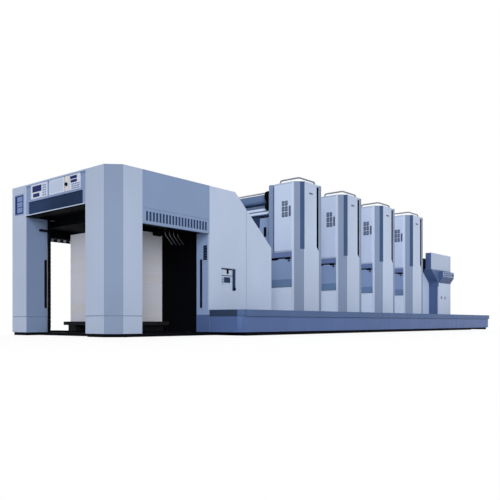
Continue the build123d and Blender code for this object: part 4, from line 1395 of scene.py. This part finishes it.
    def add_inker_fittings(self) -> None:
        """Fit the inker's front: a rod over the fountain bar, strips on the tie bar, a window, and a black
        plate for a slot, painted shade of the opening.
        """
        bar = Span.of("ink_bars")
        end = -bar.low[1] - self.rod_gap
        x = self.face + self.bar_inset
        path = lattice(x, (-end, end), bar.high[2] + self.rod_lift)
        self.add_own("ink_rod", tube(path, self.rod_radius, self.rod_sides), STEEL)
        outlines = np.stack([strip_up((x, end), (x, -end), levels) for levels in self.tie_strips])
        self.add_own("tie_strips", plate(outlines, self.tie_sheet), PALE)
        planes = np.add(Span.of(f"{self.name}_inker").low[0], self.window_planes)
        low, high = zip((-self.window_half, self.window_half), self.window_levels)
        self.add_own("inker_window", panels(Along.X, planes, low, high, self.window_rim), VISOR_AND_SHADE)
        # Black plate for the slot: painted shade.
        low, high = self.across(self.cut_depths, self.cut_levels)
        self.add_own("inker_cut_shade", panels(Along.X, planes, low, high, self.window_rim), BLACK_AND_SHADE)

    def add_back_studs(self) -> None:
        """Press studs into the back of each housing, in a column along either edge."""
        margin = self.back_margin
        columns = (self.plane + margin, self.house.high[1] - margin)
        rows = np.linspace(self.deck + margin, self.top - margin, self.back_rows)
        studs = turned(lattice(self.house.high[0], columns, rows), Along.X, self.back_stud)
        self.add_own("back_studs", studs.both_sides(), COVER)


@dataclass
class UnitRow(Assembly):
    """What the four units share: frames, headers, cylinders, rollers, bars and handrails."""

    coats: tuple[Coat, ...] = (
        ("unit_side_frames", FASCIA, 0.003),
        # The front panels' light enamel is partly painted light.
        ("unit_front_panels", PANEL_LIT, 0.003),
        ("guard_headers", HEADER, 0.002),
        # The hinge rods' black is partly painted shade of the gap under the headers.
        ("guard_hinge_rods", BLACK_AND_SHADE, SHARP),
        ("plate_cylinders", STEEL, SHARP),
        ("blanket_cylinders", RUBBER, SHARP),
        ("ink_bars", BAR, 0.003),
    )
    rail_radius: float = 0.0125
    rail_height: float = 0.052
    rail_inset: float = 0.070
    rail_front_end: float = 0.405
    rail_side_end: float = 0.472
    rail_bend: float = 0.034
    rail_sides: int = 14
    rail_foot: Turning = Turning((0.025, 0.025, 0.02125, 0.0125), (0.0, 0.003, 0.005, 0.006), 20)
    roller_places: Pair = (0.275, 0.371)
    roller_level: float = 1.880
    roller_radius: float = 0.045
    roller_ease: float = 0.003
    roller_sides: int = 40
    journal_radius: float = 0.016
    drum_gap: float = 0.015

    def build(self) -> None:
        """Dress the shared nodes, then add the handrails and the rollers."""
        self.houses = [Span.of(f"unit_{number}_operator_housing") for number in UNIT_NUMBERS]
        self.dress_all(self.coats)
        self.add_rails()
        self.add_rollers()

    def add_rails(self) -> None:
        """Bend a round rail over the front and side edges of each housing top, on flanged feet."""
        shells = []
        for house in self.houses:
            x0, x1 = house.low[0] + self.rail_inset, house.low[0] + self.rail_side_end
            y0, y1 = house.low[1] + self.rail_inset, house.low[1] + self.rail_front_end
            foot = house.high[2]
            top = foot + self.rail_height
            corners = [(x0, y1, foot), (x0, y1, top), (x0, y0, top), (x1, y0, top), (x1, y0, foot)]
            shells.append(tube(bent_path(corners, self.rail_bend), self.rail_radius, self.rail_sides))
            shells.append(turned(np.array([corners[0], corners[-1]]), Along.Z, self.rail_foot))
        rails = self.add("unit_rails", Shell.joined(shells).both_sides(), CHROME)
        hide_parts("unit_handrails")

    def add_rollers(self) -> None:
        """Turn the ink rollers: a drum between two journals."""
        seat = Span.of("ink_rollers").low[1]
        end = seat + self.drum_gap
        drum, journal, ease = self.roller_radius, self.journal_radius, self.roller_ease
        x = [house.low[0] + place for house in self.houses for place in self.roller_places]
        radii = (journal, journal, drum - ease, drum, drum, drum - ease, journal, journal)
        heights = (seat, end, end, end + ease, -end - ease, -end, -end, -seat)
        outline = Turning(radii, heights, self.roller_sides)
        shell = turned(lattice(x, 0.0, self.roller_level), Along.Y, outline)
        rollers = self.add("round_ink_rollers", shell, RUBBER)
        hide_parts("ink_rollers")


@dataclass
class Walkway(Assembly):
    """Base, plinth and the raised walkways along both sides."""

    coats: tuple[Coat, ...] = (
        ("machine_base", SKIRT, 0.004),
        ("base_plinth", BLACK_AND_SHADE, SHARP),
        ("walkway_skirts", SKIRT, 0.003),
        ("walkway_treads", TREAD, 0.004),
    )
    lozenge_pitch: float = 0.052
    lozenge_length: float = 0.034
    lozenge_width: float = 0.013
    lozenge_height: float = 0.0016
    rim: float = 0.045
    seam_places: tuple[float, ...] = (1.75, 3.02)
    seam_width: float = 0.003
    seam_planes: Pair = (-0.0006, 0.001)
    screw_pitch: float = 0.55
    screw_ends: Pair = (0.3, 0.1)
    screw_margin: float = 0.02
    screw: Turning = Turning((0.003, 0.006, 0.007), (-0.003, -0.002, 0.001), 10)
    corner_radius: float = 0.080
    foot_width: float = 0.220
    foot_rise: float = 0.022
    floor_gap: float = 0.0005
    plate_planes: Pair = (-0.002, 0.001)

    def build(self) -> None:
        """Dress the base and the walkways, and add the tread pattern, seams, screws and end plates."""
        self.tread = Span.of("walkway_treads")
        self.skirt = Span.of("walkway_skirts")
        self.dress_all(self.coats)
        self.add_lozenges()
        self.add_seams()
        self.add_screws()
        self.add_end_plates()

    def add_lozenges(self) -> None:
        """Raise the tread pattern on both walkways.

        Each lozenge is a diamond, turned to one side or the other by its place in a chequer, whose top ring
        lies one height up at half the size.
        """
        plane = Span.of("side_cover_operator_side").low[1]
        x = np.arange(self.tread.low[0] + 2 * self.rim, self.tread.high[0] - self.rim, self.lozenge_pitch)
        y = np.arange(self.tread.low[1] + self.rim, plane - self.rim / 2, self.lozenge_pitch)
        column, row = np.meshgrid(np.arange(len(x)), np.arange(len(y)), indexing="ij")
        angle = np.where((column + row) % 2, math.pi / 4, -math.pi / 4).ravel()
        centre = np.stack([x[column].ravel(), y[row].ravel()], -1)
        diamond = np.array([(0.5, 0.0), (0.0, 0.5), (-0.5, 0.0), (0.0, -0.5)])
        diamond = diamond * (self.lozenge_length, self.lozenge_width)
        cosine, sine = np.cos(angle)[:, None], np.sin(angle)[:, None]
        swing = np.stack([diamond[:, 0] * cosine - diamond[:, 1] * sine,
                          diamond[:, 0] * sine + diamond[:, 1] * cosine], -1)
        rings = np.empty((len(centre), 2, 4, 3))
        for number, (size, lift) in enumerate(((1.0, 0.0), (0.5, self.lozenge_height))):
            rings[:, number, :, :2] = centre[:, None] + size * swing
            rings[:, number, :, 2] = self.tread.high[2] + lift
        self.add("tread_pattern", loft(rings).both_sides(), TREAD, shading=Shading.FLAT)

    def add_seams(self) -> None:
        """Close the skirt's joints with narrow upright strips."""
        low = np.array([(x, self.skirt.low[2]) for x in self.seam_places])
        high = low + (self.seam_width, self.skirt.high[2] - self.skirt.low[2])
        seams = panels(Along.Y, np.add(self.skirt.low[1], self.seam_planes), low, high, SEAM, Along.Z)
        self.add("skirt_seams", seams.both_sides(), INSERT)

    def add_screws(self) -> None:
        """Drive round-headed screws along the top and the foot of each skirt."""
        low, high = self.skirt.low, self.skirt.high
        x = np.arange(low[0] + self.screw_ends[0], high[0] - self.screw_ends[1], self.screw_pitch)
        centres = lattice(x, low[1], (low[2] + self.screw_margin, high[2] - self.screw_margin))
        self.add("skirt_screws", turned(centres, Along.Y, self.screw).both_sides(), SKIRT)

    def add_end_plates(self) -> None:
        """Carry the skirt and the black plinth on across the rear pillars' feet, and darken the treads' front
        ends with painted shade.
        """
        pillar = Span.of("rear_pillars")
        x, y = pillar.low[:2]
        front, outer = np.add(x, self.plate_planes), np.add(y, self.plate_planes)
        inner = y + self.foot_width
        floor, foot, top = self.floor_gap, self.skirt.low[2], self.skirt.high[2] + self.foot_rise
        feet = panels(Along.X, front, (y, foot), (inner, top), THIN, Along.Z)
        self.add("rear_pillar_feet", feet.both_sides(), SKIRT)
        toes = [
            panels(Along.X, front, (y, floor), (inner, foot), THIN, Along.Z),
            panels(Along.Y, outer, (x, floor), (pillar.high[0], foot), THIN, Along.Z),
        ]
        self.add("rear_pillar_toes", Shell.joined(toes).both_sides(), BLACK_AND_SHADE)
        # Dark plates on the treads' front ends: painted shade.
        start = self.tread.low[1] + self.corner_radius
        end_shade = panels(Along.X, front, (start, self.tread.low[2]), (y, self.tread.high[2]), THIN, Along.Y)
        self.add("tread_end_shades", end_shade.both_sides(), TREAD_END_SHADE)


@dataclass
class Feeder(Assembly):
    """Feeder frames and covers, the console, the feed board and the suction head."""

    coats: tuple[Coat, ...] = (
        ("feeder_sides", DARK, 0.004),
        ("feeder_panels", COVER, 0.003),
        # The head covers take the darker copy of the cover enamel: painted shade.
        ("feeder_head_covers", COVER_SHADED, 0.005),
        ("feeder_console", DARK, 0.003),
        ("feeder_switch_box", BLACK_AND_SHADE, 0.004),
        ("feeder_traverse", DARK, 0.004),
        ("feed_board", STEEL, SHARP),
    )
    front_depths: Pair = (0.118, 0.004)
    front_gap: float = 0.004
    front_sheet: Sheet = Sheet(0.003, 0.001)
    switch_count: int = 3
    switch_margin: float = 0.03
    switch: Turning = Turning((0.016, 0.022, 0.022, 0.026), (-0.034, -0.030, -0.010, 0.0), 20)
    ball: float = 0.022
    ball_rings: int = 9
    ball_sides: int = 20
    ball_tip_share: float = 0.1
    console_face: float = 0.120
    face_margin: float = 0.008
    face_sheet: Sheet = Sheet(0.002, 0.0007)
    key_run: Pair = (0.06, 0.40)
    key_margin: float = 0.03
    key_grid: Grid = (6, 2, 0.02)
    key_proud: float = 0.006
    key_rim: Rim = Rim(0.005, 0.0015, 2)
    knob_inset: float = 0.09
    knob_proud: float = 0.002
    knob_rise: float = 0.06
    knob: Turning = Turning((0.012, 0.018, 0.020, 0.012), (-0.024, -0.021, -0.010, 0.0), 24)
    side_length: float = 0.630
    latch_places: Pair = (0.136, 0.330)
    latch_level: float = 0.660
    latch_half: Pair = (0.022, 0.030)
    latch_proud: float = 0.004
    latch_rim: Rim = Rim(0.008, 0.0015, 3)
    board_thickness: float = 0.040
    tape_start: float = 0.01
    tape_margin: float = 0.22
    tape_count: int = 5
    tape_width: float = 0.045
    tape_sheet: Sheet = Sheet(0.002, 0.0006)
    suction_half: Pair = (0.11, 0.26)
    suction_height: float = 0.09
    suction_rim: Rim = Rim(0.018, 0.006, 4)
    cup_count: int = 4
    cup_reach: float = 0.21
    cup_setback: float = 0.06
    cup: Turning = Turning((0.024, 0.026, 0.015, 0.008, 0.008), (-0.085, -0.078, -0.060, -0.052, 0.0), 20)

    def build(self) -> None:
        """Dress the feeder and add its trims, switches, keys, latches, tapes and suction head."""
        self.frame = Span.of("feeder_sides")
        self.plane = self.frame.low[1]
        self.dress_all(self.coats)
        self.add_head_fronts()
        self.add_switches()
        self.add_console()
        self.add_latches()
        self.add_tapes()
        self.add_suction_head()

    def add_head_fronts(self) -> None:
        """Close the front end of each head cover with a dark panel."""
        head = Span.of("feeder_head_covers")
        start, end = ((head.low[0], self.plane + depth) for depth in self.front_depths)
        outline = strip_up(start, end, (head.low[2] + self.front_gap, head.high[2] - self.front_gap))
        self.add("feeder_head_fronts", plate(outline, self.front_sheet).both_sides(), DARK)

    def add_switches(self) -> None:
        """Put a column of knobs on the switch box, and hang a ball handle under it.

        The ball's profile is a circle's arc from its lowest point to a neck, which runs on up to the box.
        """
        box = Span.of("feeder_switch_box")
        y = (box.low[1] + box.high[1]) / 2
        z = np.linspace(box.low[2] + self.switch_margin, box.high[2] - self.switch_margin, self.switch_count)
        self.add("switch_knobs", turned(lattice(box.low[0], y, z), Along.X, self.switch), BLACK_AND_SHADE)
        turn = np.linspace(-math.pi / 2, math.pi / 3, self.ball_rings)
        radii = self.ball * np.maximum(np.cos(turn), self.ball_tip_share)
        heights = self.ball * np.sin(turn) - 2 * self.ball
        outline = Turning((*radii, self.ball / 2), (*heights, 0.0), self.ball_sides)
        foot = (box.low[0] + self.ball, y, box.low[2])
        self.add("switch_handle", turned(foot, Along.Z, outline), BLACK_AND_SHADE)

    def add_console(self) -> None:
        """Face the console's upright front, and set two rows of keys and a knob in it."""
        console = Span.of("feeder_console")
        (left, y, _), (right, _, top) = console.low, console.high
        bottom = top - self.console_face
        margin = self.face_margin
        outline = strip_up((left + margin, y), (right - margin, y), (bottom + margin, top - margin))
        self.add("console_face", plate(outline, self.face_sheet), FASCIA)
        low, high = zip(np.add(left, self.key_run), (bottom + self.key_margin, top - self.key_margin))
        keys = panels(Along.Y, (y - self.key_proud, y), *cells(low, high, *self.key_grid), self.key_rim)
        self.add("console_keys", keys, KEY)
        centre = (right - self.knob_inset, y - self.knob_proud, bottom + self.knob_rise)
        self.add("console_knob", turned(centre, Along.Y, self.knob), BLACK_AND_SHADE)

    def add_latches(self) -> None:
        """Fit two flush latches to each lower side panel."""
        x = self.frame.high[0] - self.side_length + np.array(self.latch_places)
        middle = np.stack([x, np.full_like(x, self.latch_level)], -1)
        planes = (self.plane - self.latch_proud, self.plane)
        latches = panels(Along.Y, planes, middle - self.latch_half, middle + self.latch_half, self.latch_rim)
        self.add("feeder_latches", latches.both_sides(), KEY)

    def add_tapes(self) -> None:
        """Lay the feed tapes down the sloping board."""
        board = Span.of("feed_board")
        start, end = board.low[0] + self.tape_start, self.frame.high[0] - self.side_length
        low, high = board.low[2] + self.board_thickness, board.high[2]
        low += (high - low) * self.tape_start / (end - board.low[0])
        near, far = board.low[1] + self.tape_margin, board.high[1] - self.tape_margin
        middle = np.linspace(near, far, self.tape_count)
        left, right = middle - self.tape_width / 2, middle + self.tape_width / 2
        corners = ((start, left, low), (end, left, high), (end, right, high), (start, right, low))
        outlines = np.stack([np.stack(np.broadcast_arrays(*corner), -1) for corner in corners], 1)
        self.add("feed_tapes", plate(outlines, self.tape_sheet), IVORY)

    def add_suction_head(self) -> None:
        """Hang the suction head under the traverse, with a row of cups on stems."""
        beam = Span.of("feeder_traverse")
        middle = (beam.low[0] + beam.high[0]) / 2
        top, bottom = beam.low[2], beam.low[2] - self.suction_height
        length, width = self.suction_half
        low, high = (middle - length, -width, bottom), (middle + length, width, top)
        self.add("suction_head", slabs(low, high, Along.Y, self.suction_rim), KEY)
        y = np.linspace(-self.cup_reach, self.cup_reach, self.cup_count)
        cups = turned(lattice(middle - self.cup_setback, y, bottom), Along.Z, self.cup)
        self.add("suction_cups", cups, RUBBER)


# Stage


@dataclass
class Stage:
    """Pale floor, soft light and the camera at the photograph's viewpoint."""

    camera_step: Triple = (-3.815, -5.022, 0.159)
    heading: float = math.radians(-50.04)
    sensor: float = 36.0
    lens: float = 43.62
    horizon_shift: float = 0.144
    floor_size: float = 300.0
    floor_colour: tuple[float, ...] = (0.86, 0.86, 0.87, 1.0)
    floor_roughness: float = 0.9
    floor_glow: float = 0.75
    floor_light: float = 1.11
    ambient: float = 0.42
    front_lamp: float = 2.3
    back_lamp: float = 0.9
    front_way: Triple = (-0.68, -0.73, 0.28)
    back_way: Triple = (0.66, 0.75, 0.60)
    lamp_spread: float = math.radians(40.0)

    def build(self) -> None:
        """Make the camera, the floor, the world and the lamps."""
        scene = bpy.context.scene
        scene.view_settings.view_transform = "Standard"
        self.add_camera(scene)
        self.add_floor(scene)
        self.add_world(scene)
        self.add_lamp(scene, "front_lamp", self.front_way, self.front_lamp)
        self.add_lamp(scene, "back_lamp", self.back_way, self.back_lamp)

    def add_camera(self, scene: bpy.types.Scene) -> None:
        """Stand the level camera off the near corner of the delivery, at the photograph's viewpoint."""
        data = bpy.data.cameras.new("camera")
        data.sensor_width = self.sensor
        data.lens = self.lens
        data.shift_y = self.horizon_shift
        data.clip_end = 2 * self.floor_size
        camera = bpy.data.objects.new("camera", data)
        corner, step = Span.of("front_pillar_operator_side").low, self.camera_step
        camera.location = (corner[0] + step[0], corner[1] + step[1], step[2])
        camera.rotation_euler = (math.pi / 2, 0.0, self.heading)
        scene.collection.objects.link(camera)
        scene.camera = camera

    def add_floor(self, scene: bpy.types.Scene) -> None:
        """Lay the floor: pale, with the object's shadow, and nearly white where the camera sees it."""
        half = self.floor_size / 2
        corners = np.array([[-half, -half, 0.0], [half, -half, 0.0], [half, half, 0.0], [-half, half, 0.0]])
        mesh = bpy.data.meshes.new("floor")
        mesh.from_pydata(corners.tolist(), [], [(0, 1, 2, 3)])
        graph = Graph("floor_paint")
        graph.shader.inputs["Roughness"].default_value = self.floor_roughness
        graph.shader.inputs["Base Color"].default_value = self.floor_colour
        output = graph.nodes["Material Output"]
        glow = graph.nodes.new("ShaderNodeEmission")
        glow.inputs["Strength"].default_value = self.floor_light
        seen = graph.nodes.new("ShaderNodeLightPath")
        share = graph.nodes.new("ShaderNodeMath")
        share.operation = "MULTIPLY"
        share.inputs[1].default_value = self.floor_glow
        blend = graph.nodes.new("ShaderNodeMixShader")
        graph.links.new(seen.outputs["Is Camera Ray"], share.inputs[0])
        graph.links.new(share.outputs["Value"], blend.inputs["Fac"])
        graph.links.new(graph.shader.outputs["BSDF"], blend.inputs[1])
        graph.links.new(glow.outputs["Emission"], blend.inputs[2])
        graph.links.new(blend.outputs["Shader"], output.inputs["Surface"])
        mesh.materials.append(graph.material)
        floor = bpy.data.objects.new("floor", mesh)
        scene.collection.objects.link(floor)

    def add_world(self, scene: bpy.types.Scene) -> None:
        """Light the press evenly, and show white behind it."""
        world = bpy.data.worlds.new("studio")
        scene.world = world
        world.use_nodes = True
        nodes, links = world.node_tree.nodes, world.node_tree.links
        path = nodes.new("ShaderNodeLightPath")
        seen = path.outputs["Is Camera Ray"]
        for ray in ("Is Glossy Ray", "Is Transmission Ray"):
            either = nodes.new("ShaderNodeMath")
            either.operation = "MAXIMUM"
            links.new(seen, either.inputs[0])
            links.new(path.outputs[ray], either.inputs[1])
            seen = either.outputs["Value"]
        strength = nodes.new("ShaderNodeMapRange")
        strength.inputs["To Min"].default_value = self.ambient
        strength.inputs["To Max"].default_value = 1.0
        links.new(seen, strength.inputs["Value"])
        background = nodes["Background"]
        background.inputs["Color"].default_value = WHITE
        links.new(strength.outputs["Result"], background.inputs["Strength"])

    def add_lamp(self, scene: bpy.types.Scene, name: str, way: Triple, strength: float) -> None:
        """Add a broad lamp that leaves no glint on the flat tops.

        Args:
            scene: The scene.
            name: The lamp's name.
            way: Direction from the press to the lamp.
            strength: Its strength.
        """
        data = bpy.data.lights.new(name, "SUN")
        data.energy = strength
        data.angle = self.lamp_spread
        lamp = bpy.data.objects.new(name, data)
        flat = math.hypot(way[0], way[1])
        lamp.rotation_euler = (math.atan2(flat, way[2]), 0.0, math.atan2(way[0], -way[1]))
        lamp.visible_glossy = False
        scene.collection.objects.link(lamp)


def main() -> None:
    """Build the press's looks, piece by piece."""
    logging.basicConfig(level=logging.INFO, format="%(message)s")
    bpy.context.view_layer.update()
    Stage().build()
    DeliveryFront().build()
    DeliveryBay().build()
    Incline().build()
    for number in UNIT_NUMBERS:
        PrintingUnit(number).build()
    UnitRow().build()
    Walkway().build()
    Feeder().build()


if __name__ == "__main__":
    main()
